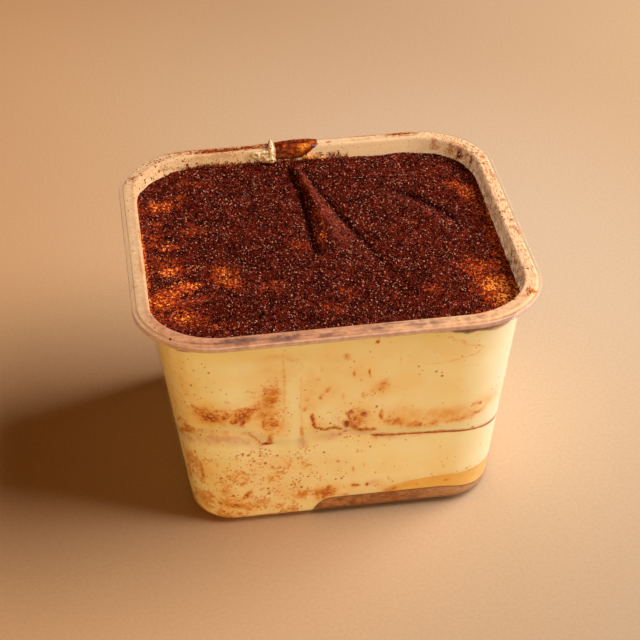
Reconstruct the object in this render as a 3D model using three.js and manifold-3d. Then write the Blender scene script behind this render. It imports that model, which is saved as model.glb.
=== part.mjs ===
// Tiramisu served in its own clear, square, thin-walled tub.
//
// From the table up: the tub, a wedge of coffee-soaked biscuit on its floor at the right, a wedge of
// coffee-stained cream on the biscuit, a thick layer of mascarpone cream, a thin seam of coffee and
// cocoa, a second thick layer of cream, and a dusted cocoa top with two folds. At the back a tongue of
// wet cocoa cream hangs over the rim, with a bead of clean cream along its left edge.
//
// Millimetres, +X to the right, +Y to the back, +Z up. The origin is on the table under the middle.

import * as THREE from 'three';
import { mergeVertices } from 'three/addons/utils/BufferGeometryUtils.js';
import Module from 'manifold-3d';

// ---- Driving dimensions ------------------------------------------------------------------------

// Tub, measured over the rim, and how its wall leans in towards the base.
const RIM_LENGTH = 110;
const RIM_DEPTH = 104;
const RIM_HEIGHT = 70;
const RIM_CORNER = 22;
const RIM_WIDTH = 3.8;
const RIM_THICKNESS = 0.8;
const RIM_LIP = 1.8;
const WALL = 0.8;
const LEAN_X = 8.2;
const LEAN_Y = 8.4;
const WALL_CORNER = 19.6;
const BASE_CORNER = 13.2;
const BASE_FILLET = 3.6;

// Clearance between pieces that lie against each other.
const GAP = 0.3;

// Cocoa dusting: how thick it lies, and its height at the four corners of the wall and inside.
const COCOA_THICKNESS = 1.4;
const COCOA_AT_WALL = { backLeft: 66.1, backRight: 65.0, frontLeft: 66.6, frontRight: 63.2 };
const COCOA_INSIDE = 64.8;
const COCOA_STEP_UP = 0.8;

// Main fold: it starts at the back wall, runs forward and bends to the right. A narrow groove lies
// along its left foot.
const FOLD_BACK_Y = 47;
const FOLD_FRONT_Y = -17;
const FOLD_HEIGHT = 2.0;
const FOLD_GROOVE_X = -2.8;
const FOLD_NARROWEST_FACE = 2.6;
const FOLD_GROOVE_DEPTH = 0.9;
const FOLD_GROOVE_REACH = 1.5;
const FOLD_RIGHT_REACH = 3.6;

// Second, softer fold: a long arc on the right, with a crease behind its crest.
const ARC_FOLD = { x: 6, y: -4, crestRadius: 29.5, creaseRadius: 33 };
const ARC_FOLD_HEIGHT = 0.8;
const ARC_FOLD_REACH = 3;
const ARC_CREASE_DEPTH = 0.3;
const ARC_CREASE_REACH = 1.5;

// Shallow dents and swells of the dusted top: x, y, height, reach.
const COCOA_SWELLS = [
  [-35, 16, -0.5, 5],
  [-23, -1, -0.5, 6],
  [-14, -28, 0.4, 9],
  [22, -25, 0.5, 12],
  [-30, 34, 0.3, 8],
];

// Seam between the two creams, with its swells: x, y, height, reach.
const SEAM_HEIGHT = 30.2;
const SEAM_SLOPE = -0.055;
const SEAM_THICKNESS = 0.9;
const SEAM_SWELLS = [
  [-48, -34, -3.5, 8],
  [-33, -44, 5.6, 9],
  [-17, -44, -2.4, 6],
  [-3, -44, 3.2, 7],
  [45, -34, -1.6, 10],
  [18, 44, 1.8, 14],
  [-24, 44, -1.6, 12],
  [-44, 8, 1.4, 12],
  [44, 16, 1.6, 12],
];

// Soaked biscuit on the floor, and the stained cream that lies on it, as heights along X.
const BISCUIT_LEFT_END = -9.5;
const BISCUIT_NOSE = 6;
const BISCUIT_HEIGHT = 6.5;
const BISCUIT_RIGHT_DROP = 2.2;
const STAINED_LEFT_END = 10.5;
const STAINED_HEIGHT = 11.2;
const STAINED_RISE = 4.4;
const STAINED_RISE_START = 9;
const STAINED_RISE_LENGTH = 7.5;

// Where along X the tops of the biscuit and the stained cream bend, from right to left.
const SLAB_STATIONS = [41, 37, 33, 29, 25, 21, 17, 14, 12, 8, 2, -3, -5, -7, -8.5, -9.3];

// Where along X the biscuit starts to sink towards the right wall, and over what length.
const DROP_START = 26;
const DROP_LENGTH = 16;

// Tongue of wet cocoa cream over the back rim, and the bead of clean cream on its left.
const TONGUE_LEFT = -7.4;
const TONGUE_RIGHT_ON_RIM = 5.4;
const TONGUE_RIGHT_AT_FOOT = -1.2;
const TONGUE_THICKNESS = 0.75;
const TONGUE_EDGE = 0.3;
const TONGUE_FOOT_HEIGHT = 67.3;
const BEAD_RADIUS = 0.65;
const FOAM_LUMP = { x: -11.6, height: 68.1, halfLength: 3.9, halfDepth: 0.85, halfHeight: 1.25 };

// How finely round and wavy shapes are divided.
const CORNER_STEPS = 6;
const SIDE_STEPS = 16;
const FILLET_STEPS = 3;
const TOP_RINGS = 13;
const SEAM_RINGS = 4;

// ---- Shared shape functions ----------------------------------------------------------------------

const smoothStep = (value) => THREE.MathUtils.smoothstep(value, 0, 1);

// Height of a set of round swells at (x, y): each is a bell curve of its own reach.
function swellHeight(swells, x, y) {
  let height = 0;
  for (const [swellX, swellY, rise, reach] of swells) {
    const distance = Math.hypot(x - swellX, y - swellY) / reach;
    height += rise * Math.exp(-distance * distance);
  }
  return height;
}

// A rectangle with round corners, counter-clockwise from above: each corner is a quarter circle and
// each straight side is divided evenly.
function roundedOutline(halfX, halfY, corner, sideSteps) {
  const points = [];
  for (let quarter = 0; quarter < 4; quarter += 1) {
    const centre = cornerCentre(quarter, halfX, halfY, corner);
    const nextCentre = cornerCentre(quarter + 1, halfX, halfY, corner);
    for (let step = 0; step < CORNER_STEPS; step += 1) {
      const angle = (quarter + step / CORNER_STEPS) * Math.PI / 2;
      points.push(onArc(centre, corner, angle));
    }
    const endAngle = (quarter + 1) * Math.PI / 2;
    const from = onArc(centre, corner, endAngle);
    const to = onArc(nextCentre, corner, endAngle);
    for (let step = 0; step < sideSteps; step += 1) {
      points.push(from.clone().lerp(to, step / sideSteps));
    }
  }
  return points;
}

function cornerCentre(quarter, halfX, halfY, corner) {
  const signX = quarter % 4 === 0 || quarter % 4 === 3 ? 1 : -1;
  const signY = quarter % 4 < 2 ? 1 : -1;
  return new THREE.Vector2(signX * (halfX - corner), signY * (halfY - corner));
}

function onArc(centre, radius, angle) {
  return new THREE.Vector2(centre.x + radius * Math.cos(angle), centre.y + radius * Math.sin(angle));
}

// A closed solid through rings of equal length: a fan from the start point to the first ring, bands
// between the rings, and a fan from the last ring to the end point. With rings that run
// counter-clockwise about the way they travel, every face points out. A band's diagonals start from
// its wider ring, so that two layers split the surface between them alike.
function loft(start, rings, end) {
  const count = rings[0].length;
  const points = [start, ...rings.flat(), end];
  const index = [];
  for (let i = 0; i < count; i += 1) {
    const next = (i + 1) % count;
    index.push(0, 1 + next, 1 + i);
    for (let ring = 0; ring < rings.length - 1; ring += 1) {
      const here = 1 + ring * count;
      const above = here + count;
      if (fromAxis(points[here + i]) > fromAxis(points[above + i])) {
        index.push(here + i, here + next, above + next);
        index.push(here + i, above + next, above + i);
      } else {
        index.push(here + i, here + next, above + i);
        index.push(here + next, above + next, above + i);
      }
    }
    const last = 1 + (rings.length - 1) * count;
    index.push(last + i, last + next, points.length - 1);
  }
  const geometry = new THREE.BufferGeometry().setFromPoints(points);
  geometry.setIndex(index);
  return geometry;
}

const fromAxis = (point) => Math.hypot(point.x, point.y);

// ---- Tub wall ------------------------------------------------------------------------------------

// Half sizes and corner radius of the outer wall at a height, drawn in by an inset.
function wallSize(height, inset) {
  const top = RIM_HEIGHT - RIM_THICKNESS;
  const down = THREE.MathUtils.clamp((top - height) / (top - BASE_FILLET), 0, 1);
  return {
    halfX: RIM_LENGTH / 2 - RIM_WIDTH - LEAN_X * down - inset,
    halfY: RIM_DEPTH / 2 - RIM_WIDTH - LEAN_Y * down - inset,
    corner: THREE.MathUtils.lerp(WALL_CORNER, BASE_CORNER, down) - inset,
  };
}

function wallRing(height, inset, sideSteps) {
  const { halfX, halfY, corner } = wallSize(height, inset);
  const outline = roundedOutline(halfX, halfY, corner, sideSteps);
  return outline.map((point) => new THREE.Vector3(point.x, point.y, height));
}

// A ring on the rounded foot of the wall. The angle is 0 where the foot meets the wall and a quarter
// turn where it meets the floor; an inset keeps the arc's centre and shortens its radius.
function footRing(angle, inset, sideSteps) {
  const radius = BASE_FILLET - inset;
  const drawnIn = BASE_FILLET - radius * Math.cos(angle);
  const { halfX, halfY, corner } = wallSize(BASE_FILLET, drawnIn);
  const outline = roundedOutline(halfX, halfY, corner, sideSteps);
  const height = BASE_FILLET - radius * Math.sin(angle);
  return outline.map((point) => new THREE.Vector3(point.x, point.y, height));
}

function footRings(inset, sideSteps) {
  const rings = [];
  for (let step = FILLET_STEPS; step >= 0; step -= 1) {
    rings.push(footRing((step / FILLET_STEPS) * Math.PI / 2, inset, sideSteps));
  }
  return rings;
}

// A ring of the rim, drawn in from its outer edge.
function rimRing(drawnIn, height) {
  const corner = THREE.MathUtils.lerp(RIM_CORNER, WALL_CORNER, drawnIn / RIM_WIDTH);
  const outline = roundedOutline(RIM_LENGTH / 2 - drawnIn, RIM_DEPTH / 2 - drawnIn, corner, 1);
  return outline.map((point) => new THREE.Vector3(point.x, point.y, height));
}

// One thin shell: out over the base, up the wall, out under the rim, down inside the lip, up its
// outer face, in over the rim, down the inner wall and in over the floor.
function tubGeometry() {
  const lipBottom = RIM_HEIGHT - RIM_LIP;
  const rimUnderside = RIM_HEIGHT - RIM_THICKNESS;
  const edgeRound = RIM_THICKNESS / 2;
  const rings = [
    ...footRings(0, 1),
    wallRing(rimUnderside, 0, 1),
    rimRing(RIM_THICKNESS, rimUnderside),
    rimRing(RIM_THICKNESS, lipBottom),
    rimRing(0, lipBottom),
    rimRing(0, RIM_HEIGHT - edgeRound),
    rimRing(edgeRound * 0.3, RIM_HEIGHT - edgeRound * 0.3),
    rimRing(edgeRound, RIM_HEIGHT),
    rimRing(RIM_WIDTH + edgeRound * 0.5, RIM_HEIGHT),
    wallRing(RIM_HEIGHT - edgeRound, WALL, 1),
    ...footRings(WALL, 1).reverse(),
  ];
  return loft(new THREE.Vector3(0, 0, 0), rings, new THREE.Vector3(0, 0, WALL));
}

// ---- Layers that fill the tub --------------------------------------------------------------------

const FILL_INSET = WALL + GAP;

// Rings of a layer's surface, from the wall to the middle. Each wall point is found where the leaning
// wall and the surface meet, and the inner rings are that outline drawn in evenly.
function surfaceRings(surface, ringCount) {
  const outline = roundedOutline(1, 1, 0.5, SIDE_STEPS).map((_, i) => wallPoint(surface, i));
  const rings = [];
  for (let ring = ringCount; ring >= 1; ring -= 1) {
    const scale = ring / ringCount;
    rings.push(outline.map((point) => {
      const x = point.x * scale;
      const y = point.y * scale;
      return new THREE.Vector3(x, y, surface(x, y));
    }));
  }
  return rings;
}

function wallPoint(surface, i) {
  let height = RIM_HEIGHT / 2;
  let point = null;
  for (let pass = 0; pass < 5; pass += 1) {
    const { halfX, halfY, corner } = wallSize(height, FILL_INSET);
    point = roundedOutline(halfX, halfY, corner, SIDE_STEPS)[i];
    height = surface(point.x, point.y);
  }
  return point;
}

// A layer between two surfaces, which fills the tub from wall to wall.
function layerGeometry(bottom, bottomRings, top, topRings) {
  const rings = [...surfaceRings(bottom, bottomRings).reverse(), ...surfaceRings(top, topRings)];
  return loft(
    new THREE.Vector3(0, 0, bottom(0, 0)),
    rings,
    new THREE.Vector3(0, 0, top(0, 0)),
  );
}

const lowered = (surface, by) => (x, y) => surface(x, y) - by;

// ---- Cocoa top -----------------------------------------------------------------------------------

const bell = (distance, reach) => Math.exp(-((distance / reach) ** 2));

// How far forward a point lies along the main fold: 0 at the back wall and 1 where the fold has faded.
const alongFold = (y) => (FOLD_BACK_Y - y) / (FOLD_BACK_Y - FOLD_FRONT_Y);

// Where the main fold's crest runs: x for a given y, bending to the right as it comes forward.
function foldCrestX(y) {
  const along = alongFold(y);
  return -3.6 + 12 * along + 10 * along * along;
}

// The main fold rises from the groove on its left to the crest and falls away on the right. It swells
// up from the back wall and fades out at its front end, where the groove has closed before it.
function foldHeight(x, y) {
  const along = alongFold(y);
  const strength = smoothStep(along / 0.14) * smoothStep((1 - along) / 0.45);
  const grooveStrength = smoothStep(along / 0.1) * smoothStep((0.84 - along) / 0.1);
  const crest = foldCrestX(y);
  const face = Math.max(crest - FOLD_GROOVE_X, FOLD_NARROWEST_FACE);
  const groove = FOLD_GROOVE_DEPTH * bell(x - crest + face, FOLD_GROOVE_REACH);
  const rise = x < crest ? smoothStep((x - crest + face) / face) : bell(x - crest, FOLD_RIGHT_REACH);
  return strength * FOLD_HEIGHT * rise - grooveStrength * groove;
}

// The softer fold is an arc about a point to its front left: a low crest and, behind it, a crease.
function arcFoldHeight(x, y) {
  const radius = Math.hypot(x - ARC_FOLD.x, y - ARC_FOLD.y);
  const angle = Math.atan2(y - ARC_FOLD.y, x - ARC_FOLD.x);
  const strength = smoothStep((angle - 0.1) / 0.3) * smoothStep((1.4 - angle) / 0.4);
  const crest = ARC_FOLD_HEIGHT * bell(radius - ARC_FOLD.crestRadius, ARC_FOLD_REACH);
  const crease = ARC_CREASE_DEPTH * bell(radius - ARC_FOLD.creaseRadius, ARC_CREASE_REACH);
  return strength * (crest - crease);
}

// Height of the dusted top: flat inside, a step up to the right of the main fold, and blended near
// the wall into a plane through the four corner heights.
function cocoaHeight(x, y) {
  const { halfX, halfY } = wallSize(COCOA_INSIDE, FILL_INSET);
  const right = (x / halfX + 1) / 2;
  const back = (y / halfY + 1) / 2;
  const atFront = THREE.MathUtils.lerp(COCOA_AT_WALL.frontLeft, COCOA_AT_WALL.frontRight, right);
  const atBack = THREE.MathUtils.lerp(COCOA_AT_WALL.backLeft, COCOA_AT_WALL.backRight, right);
  const atWall = THREE.MathUtils.lerp(atFront, atBack, back);
  const stepUp = smoothStep((x - foldCrestX(y) - 1) / 6) * smoothStep(back / 0.5);
  const inside = COCOA_INSIDE + COCOA_STEP_UP * stepUp;
  const nearWall = Math.max(Math.abs(x) / halfX, Math.abs(y) / halfY) ** 7;
  const base = THREE.MathUtils.lerp(inside, atWall, nearWall);
  const ripple = 0.12 * Math.sin(x * 0.55 + 1) * Math.cos(y * 0.47) + 0.08 * Math.sin(y * 0.9 - x * 0.3);
  return base + ripple + foldHeight(x, y) + arcFoldHeight(x, y) + swellHeight(COCOA_SWELLS, x, y);
}

// ---- Seam ----------------------------------------------------------------------------------------

function seamHeight(x, y) {
  return SEAM_HEIGHT + SEAM_SLOPE * x + swellHeight(SEAM_SWELLS, x, y);
}

// ---- Floor of the dessert ------------------------------------------------------------------------

// The biscuit's left end is rounded like a quarter ellipse. Its top is level, and sinks at the right.
function biscuitTop(x) {
  const short = THREE.MathUtils.clamp(1 - (x - BISCUIT_LEFT_END) / BISCUIT_NOSE, 0, 1);
  const drop = BISCUIT_RIGHT_DROP * smoothStep((x - DROP_START) / DROP_LENGTH);
  return BISCUIT_HEIGHT * Math.sqrt(1 - short * short) - drop;
}

// The stained cream rises quickly from its thin left end and then levels off.
function stainedTop(x) {
  return STAINED_HEIGHT - STAINED_RISE * Math.exp((STAINED_RISE_START - x) / STAINED_RISE_LENGTH);
}

// A slab that runs through the tub from front to back, between two heights given along X.
function slabGeometry(left, bottom, top) {
  const between = [RIM_LENGTH / 2, ...SLAB_STATIONS].filter((x) => x > left + GAP);
  const shape = new THREE.Shape();
  shape.moveTo(left, top(left));
  shape.lineTo(left, bottom(left));
  for (const x of between.slice().reverse()) {
    shape.lineTo(x, bottom(x));
  }
  for (const x of between) {
    shape.lineTo(x, top(x));
  }
  const slab = new THREE.ExtrudeGeometry(shape, { depth: RIM_DEPTH, bevelEnabled: false });
  slab.rotateX(Math.PI / 2);
  slab.translate(0, RIM_DEPTH / 2, 0);
  return slab;
}

// The space inside the tub up to a level, clear of the wall and the floor.
function floorBlockGeometry(top) {
  const rings = [...footRings(FILL_INSET, SIDE_STEPS), ...surfaceRings(top, SEAM_RINGS)];
  return loft(new THREE.Vector3(0, 0, FILL_INSET), rings, new THREE.Vector3(0, 0, top(0, 0)));
}

// ---- Joining and cutting -------------------------------------------------------------------------

const wasm = await Module();
wasm.setup();

function toSolid(geometry) {
  const bare = geometry.clone();
  bare.deleteAttribute('normal');
  bare.deleteAttribute('uv');
  const merged = mergeVertices(bare, 1e-4);
  return new wasm.Manifold(new wasm.Mesh({
    numProp: 3,
    vertProperties: new Float32Array(merged.attributes.position.array),
    triVerts: new Uint32Array(merged.index.array),
  }));
}

function toGeometry(solid) {
  const mesh = solid.getMesh();
  const geometry = new THREE.BufferGeometry();
  geometry.setAttribute('position', new THREE.BufferAttribute(mesh.vertProperties, mesh.numProp));
  geometry.setIndex(new THREE.BufferAttribute(mesh.triVerts, 1));
  return geometry;
}

// ---- Tongue and bead on the back rim -------------------------------------------------------------

// The line that a smear follows in the YZ plane: in over the rim, round its inner edge and down the
// inner wall, at a clearance. It gives the place and the direction away from the plastic.
function overRim(along, clearance, footHeight) {
  const onRim = 0.42;
  const bend = 0.58;
  const outerY = RIM_DEPTH / 2 - 0.7;
  const innerY = RIM_DEPTH / 2 - RIM_WIDTH - 0.1;
  if (along <= onRim) {
    const y = THREE.MathUtils.lerp(outerY, innerY, along / onRim);
    return { y, z: RIM_HEIGHT + clearance, away: [0, 1] };
  }
  const turnHeight = RIM_HEIGHT - WALL;
  if (along <= bend) {
    const angle = ((along - onRim) / (bend - onRim)) * Math.PI / 2;
    const away = [-Math.sin(angle), Math.cos(angle)];
    const radius = WALL + clearance;
    return { y: innerY + away[0] * radius, z: turnHeight + away[1] * radius, away };
  }
  const z = THREE.MathUtils.lerp(turnHeight, footHeight, (along - bend) / (1 - bend));
  return { y: wallSize(z, WALL + clearance).halfY - 0.1, z, away: [-1, 0] };
}

// The tongue: a domed strip, as wide as the rim piece and cut off slantwise on its right lower side.
function tongueGeometry() {
  const lengthSteps = 12;
  const widthSteps = 8;
  const rings = [];
  for (let step = 0; step <= lengthSteps; step += 1) {
    const along = step / lengthSteps;
    const line = overRim(along, GAP, TONGUE_FOOT_HEIGHT);
    const slant = Math.max(0, (along - 0.42) / 0.58);
    const right = THREE.MathUtils.lerp(TONGUE_RIGHT_ON_RIM, TONGUE_RIGHT_AT_FOOT, slant);
    const outer = [];
    const inner = [];
    for (let i = 0; i <= widthSteps; i += 1) {
      const across = i / widthSteps;
      const x = THREE.MathUtils.lerp(right, TONGUE_LEFT, across);
      const dome = Math.sin(across * Math.PI);
      const rise = TONGUE_EDGE + (TONGUE_THICKNESS - TONGUE_EDGE) * dome * (1 + 0.15 * Math.sin(7 * across));
      outer.push(new THREE.Vector3(x, line.y + line.away[0] * rise, line.z + line.away[1] * rise));
      inner.push(new THREE.Vector3(x, line.y, line.z));
    }
    rings.push([...outer, ...inner.reverse()]);
  }
  return loft(ringCentre(rings[0]), rings, ringCentre(rings[rings.length - 1]));
}

function ringCentre(ring) {
  const centre = new THREE.Vector3();
  for (const point of ring) {
    centre.add(point);
  }
  return centre.divideScalar(ring.length);
}

// The bead: a round strand of cream down the tongue's left edge, which ends in a lump of foam.
function beadGeometry() {
  const x = TONGUE_LEFT - GAP - BEAD_RADIUS;
  const route = [];
  for (let step = 0; step <= 10; step += 1) {
    const line = overRim(step / 10, GAP + BEAD_RADIUS, FOAM_LUMP.height);
    route.push(new THREE.Vector3(x - step * 0.06, line.y, line.z));
  }
  const section = new THREE.Shape(new THREE.Path().absarc(0, 0, BEAD_RADIUS, 0, 2 * Math.PI).getPoints(8));
  const strand = new THREE.ExtrudeGeometry(section, {
    steps: 12,
    bevelEnabled: false,
    extrudePath: new THREE.CatmullRomCurve3(route),
  });
  const lump = new THREE.SphereGeometry(1, 14, 8);
  lump.scale(FOAM_LUMP.halfLength, FOAM_LUMP.halfDepth, FOAM_LUMP.halfHeight);
  const wallY = wallSize(FOAM_LUMP.height - FOAM_LUMP.halfHeight, WALL + GAP).halfY;
  lump.translate(FOAM_LUMP.x, wallY - FOAM_LUMP.halfDepth, FOAM_LUMP.height);
  return toGeometry(toSolid(strand).add(toSolid(lump)));
}

// ---- Pieces --------------------------------------------------------------------------------------

function piece(name, geometry, finish) {
  const mesh = new THREE.Mesh(geometry, new THREE.MeshStandardMaterial(finish));
  mesh.name = name;
  return mesh;
}

const tiramisu = new THREE.Group();

tiramisu.add(piece('tub', tubGeometry(), {
  color: '#e8dccb',
  roughness: 0.15,
  metalness: 0,
  transparent: true,
  opacity: 0.35,
}));

// The floor of the dessert is one block of space, shared out between biscuit, stained cream and the
// lower cream by slabs that run through it.
const belowSeam = lowered(seamHeight, GAP);
const floorBlock = toSolid(floorBlockGeometry(belowSeam));
const biscuitSlab = toSolid(slabGeometry(BISCUIT_LEFT_END, () => -1, biscuitTop));
const stainedSlab = toSolid(slabGeometry(STAINED_LEFT_END, (x) => biscuitTop(x) + GAP, stainedTop));
const biscuitRoom = toSolid(slabGeometry(BISCUIT_LEFT_END - GAP, () => -1, (x) => biscuitTop(x + GAP) + GAP));
const stainedRoom = toSolid(slabGeometry(STAINED_LEFT_END - GAP, () => -1, (x) => stainedTop(x) + GAP));

tiramisu.add(piece('soaked_biscuit', toGeometry(floorBlock.intersect(biscuitSlab)), {
  color: '#8a5a34',
  roughness: 0.6,
  metalness: 0,
}));

tiramisu.add(piece('stained_cream', toGeometry(floorBlock.intersect(stainedSlab)), {
  color: '#d69a4a',
  roughness: 0.5,
  metalness: 0,
}));

tiramisu.add(piece('lower_cream', toGeometry(floorBlock.subtract(biscuitRoom).subtract(stainedRoom)), {
  color: '#f0cd8a',
  roughness: 0.5,
  metalness: 0,
}));

const seamTop = (x, y) => seamHeight(x, y) + SEAM_THICKNESS;
tiramisu.add(piece('coffee_seam', layerGeometry(seamHeight, SEAM_RINGS, seamTop, SEAM_RINGS), {
  color: '#9a5c2c',
  roughness: 0.5,
  metalness: 0,
}));

const aboveSeam = (x, y) => seamTop(x, y) + GAP;
const cocoaUnderside = lowered(cocoaHeight, COCOA_THICKNESS);
const creamTop = lowered(cocoaUnderside, GAP);
tiramisu.add(piece('upper_cream', layerGeometry(aboveSeam, SEAM_RINGS, creamTop, TOP_RINGS), {
  color: '#f2cf8c',
  roughness: 0.5,
  metalness: 0,
}));

tiramisu.add(piece('cocoa_top', layerGeometry(cocoaUnderside, TOP_RINGS, cocoaHeight, TOP_RINGS), {
  color: '#5c2c1c',
  roughness: 0.95,
  metalness: 0,
}));

tiramisu.add(piece('rim_tongue', tongueGeometry(), {
  color: '#8c3d12',
  roughness: 0.3,
  metalness: 0,
}));

tiramisu.add(piece('rim_bead', beadGeometry(), {
  color: '#f3dcae',
  roughness: 0.45,
  metalness: 0,
}));

export default tiramisu;
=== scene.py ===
import bpy
import numpy as np
from mathutils import Matrix, Vector


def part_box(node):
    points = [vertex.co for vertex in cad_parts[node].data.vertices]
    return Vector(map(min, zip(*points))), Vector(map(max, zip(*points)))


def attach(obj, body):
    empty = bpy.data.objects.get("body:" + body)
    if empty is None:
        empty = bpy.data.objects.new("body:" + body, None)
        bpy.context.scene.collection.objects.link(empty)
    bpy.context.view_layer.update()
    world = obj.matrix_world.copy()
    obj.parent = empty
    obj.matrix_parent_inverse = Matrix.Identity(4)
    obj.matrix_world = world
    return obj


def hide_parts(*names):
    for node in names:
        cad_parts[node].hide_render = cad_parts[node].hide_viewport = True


# A tiramisu in its own clear square tub, put together from the tub upwards. Shapes are worked out in
# millimetres, +X to the right, +Y to the back and +Z up, and go into their meshes in metres.
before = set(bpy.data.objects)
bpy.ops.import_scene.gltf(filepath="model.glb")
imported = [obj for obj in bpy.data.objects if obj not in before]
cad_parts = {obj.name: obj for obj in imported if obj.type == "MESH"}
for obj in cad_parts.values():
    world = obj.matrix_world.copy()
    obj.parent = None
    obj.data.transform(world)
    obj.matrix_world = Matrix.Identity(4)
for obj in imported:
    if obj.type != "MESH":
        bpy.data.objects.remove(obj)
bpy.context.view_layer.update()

# ---- The tub -------------------------------------------------------------------------------------
# One thin sheet of clear plastic, drawn to shape: a flat base with a rounded foot, a wall that leans
# out, and a flat flange with a low step and a turned-down lip. Cocoa has dusted the flange and the
# bare top of the inner wall with a pinkish film, with brown smears and specks where fingers went.

MM = 0.001
_, tub_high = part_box("tub")
RIM_HALF_X = tub_high.x / MM
RIM_HALF_Y = tub_high.y / MM
RIM_TOP = tub_high.z / MM
RIM_CORNER = 22
RIM_WIDTH = 3.8
RIM_THICKNESS = 0.8
LIP_DEPTH = 1.8
STEP_IN = 1.25
STEP_DOWN = 0.3
WALL = 0.8
LEAN_X = 8.2
LEAN_Y = 8.4
WALL_CORNER = 19.6
BASE_CORNER = 13.2
FOOT_RADIUS = 3.6
UNDER_RIM = RIM_TOP - RIM_THICKNESS

# The inner wall is dusted from the first of these heights up, and wetted by the food up to the second.
DUSTED_FROM = 60
WETTED_UP_TO = 64.5

# Rows of points round the foot, and on the inner wall near the rim and below.
FOOT_ROWS = 7
INNER_ROWS_AT_RIM = 24
INNER_ROWS_BELOW = 12


def smooth(value):
    """0 up to 0, 1 from 1 on, and between them three squares less two cubes of the value."""
    part = np.clip(value, 0, 1)
    return part * part * (3 - 2 * part)


def bell(distance, reach):
    """One at no distance, falling as e to the minus square of distance over reach."""
    return np.exp(-((distance / reach) ** 2))


def wall_size(height, inset):
    """Half length, half depth and corner radius of the wall at a height, drawn in by an inset. The wall
    leans in evenly from under the rim to the foot, and the foot is a quarter circle in section."""
    down = np.clip((UNDER_RIM - height) / (UNDER_RIM - FOOT_RADIUS), 0, 1)
    foot = FOOT_RADIUS - inset
    below = np.clip(FOOT_RADIUS - height, 0, foot)
    drawn_in = inset + foot - np.sqrt(foot**2 - below**2)
    half_x = RIM_HALF_X - RIM_WIDTH - LEAN_X * down - drawn_in
    half_y = RIM_HALF_Y - RIM_WIDTH - LEAN_Y * down - drawn_in
    corner = WALL_CORNER + (BASE_CORNER - WALL_CORNER) * down - drawn_in
    return half_x, half_y, corner


def outline(station, half_x, half_y, corner):
    """Points of a rectangle with quarter circles for corners. A station from 0 to 8 goes round it
    counter-clockwise from the left end of the front: even parts are sides, odd parts are corners."""
    quarter = np.floor(station / 2) % 4
    part = station - 2 * np.floor(station / 2)
    long_side = quarter % 2 == 0
    run = np.where(long_side, half_x, half_y) - corner
    out = np.where(long_side, half_y, half_x)
    sweep = np.clip(part - 1, 0, 1) * np.pi / 2
    ahead = run * (2 * np.clip(part, 0, 1) - 1) + corner * np.sin(sweep)
    aside = corner - out - corner * np.cos(sweep)
    turn = quarter * np.pi / 2
    return ahead * np.cos(turn) - aside * np.sin(turn), ahead * np.sin(turn) + aside * np.cos(turn)


def ring(station, size, height):
    """A level ring of points on a round-cornered outline of that size."""
    x, y = outline(station, *size)
    return np.stack([x, y, np.broadcast_to(height, x.shape)], -1)


def rim_size(drawn_in):
    """Half length, half depth and corner radius of the rim, drawn in from its outer edge."""
    corner = RIM_CORNER + (WALL_CORNER - RIM_CORNER) * min(drawn_in / RIM_WIDTH, 1)
    return RIM_HALF_X - drawn_in, RIM_HALF_Y - drawn_in, corner - max(drawn_in - RIM_WIDTH, 0)


def ring_solid(rings):
    """Points, quads and triangles of a closed body through rings of equal length, which run
    counter-clockwise about their way: quads between neighbours, and a fan to the middle of each end."""
    count, around = rings.shape[:2]
    points = np.vstack([rings.reshape(-1, 3), rings[0].mean(0), rings[-1].mean(0)])
    here = np.arange(around)
    after = np.roll(here, -1)
    first = np.arange(count - 1)[:, None] * around
    quads = np.stack([first + here, first + after, first + around + after, first + around + here], -1)
    last = (count - 1) * around
    start = np.full(around, len(points) - 2)
    start_fan = np.stack([start, after, here], -1)
    end_fan = np.stack([last + here, last + after, start + 1], -1)
    return points, quads.reshape(-1, 4), np.vstack([start_fan, end_fan])


def make_piece(name, points, quads, triangles, marks, sharp_from=np.radians(40)):
    """A mesh object from points in millimetres, with one number per point for each named mark.
    Edges that turn by more than sharp_from stay crisp, and all others are shaded smooth."""
    corners = np.concatenate([quads.ravel(), triangles.ravel()]).astype(np.int32)
    starts = np.concatenate([np.arange(len(quads)) * 4, quads.size + np.arange(len(triangles)) * 3])
    mesh = bpy.data.meshes.new(name)
    mesh.vertices.add(len(points))
    mesh.vertices.foreach_set("co", (points * MM).astype(np.float32).ravel())
    mesh.loops.add(len(corners))
    mesh.loops.foreach_set("vertex_index", corners)
    mesh.polygons.add(len(starts))
    mesh.polygons.foreach_set("loop_start", starts.astype(np.int32))
    mesh.update(calc_edges=True)
    mesh.polygons.foreach_set("use_smooth", np.ones(len(starts), bool))
    mesh.set_sharp_from_angle(angle=sharp_from)
    for mark, amounts in marks.items():
        values = mesh.attributes.new(mark, "FLOAT", "POINT").data
        values.foreach_set("value", np.broadcast_to(amounts, len(points)).astype(np.float32))
    piece = bpy.data.objects.new(name, mesh)
    bpy.context.scene.collection.objects.link(piece)
    return piece


def cloud(x, y, size, seed):
    """Smooth noise from 0 to 1 with lumps of a size: random numbers on a square lattice, blended
    between the four nearest lattice points by the smooth curve."""
    lattice = np.random.default_rng(seed).random((64, 64))
    column = np.floor(x / size).astype(int)
    row = np.floor(y / size).astype(int)
    across = smooth(x / size - column)
    along = smooth(y / size - row)
    near = lattice[row % 64, column % 64] * (1 - across) + lattice[row % 64, (column + 1) % 64] * across
    far = (
        lattice[(row + 1) % 64, column % 64] * (1 - across)
        + lattice[(row + 1) % 64, (column + 1) % 64] * across
    )
    return near * (1 - along) + far * along


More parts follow.
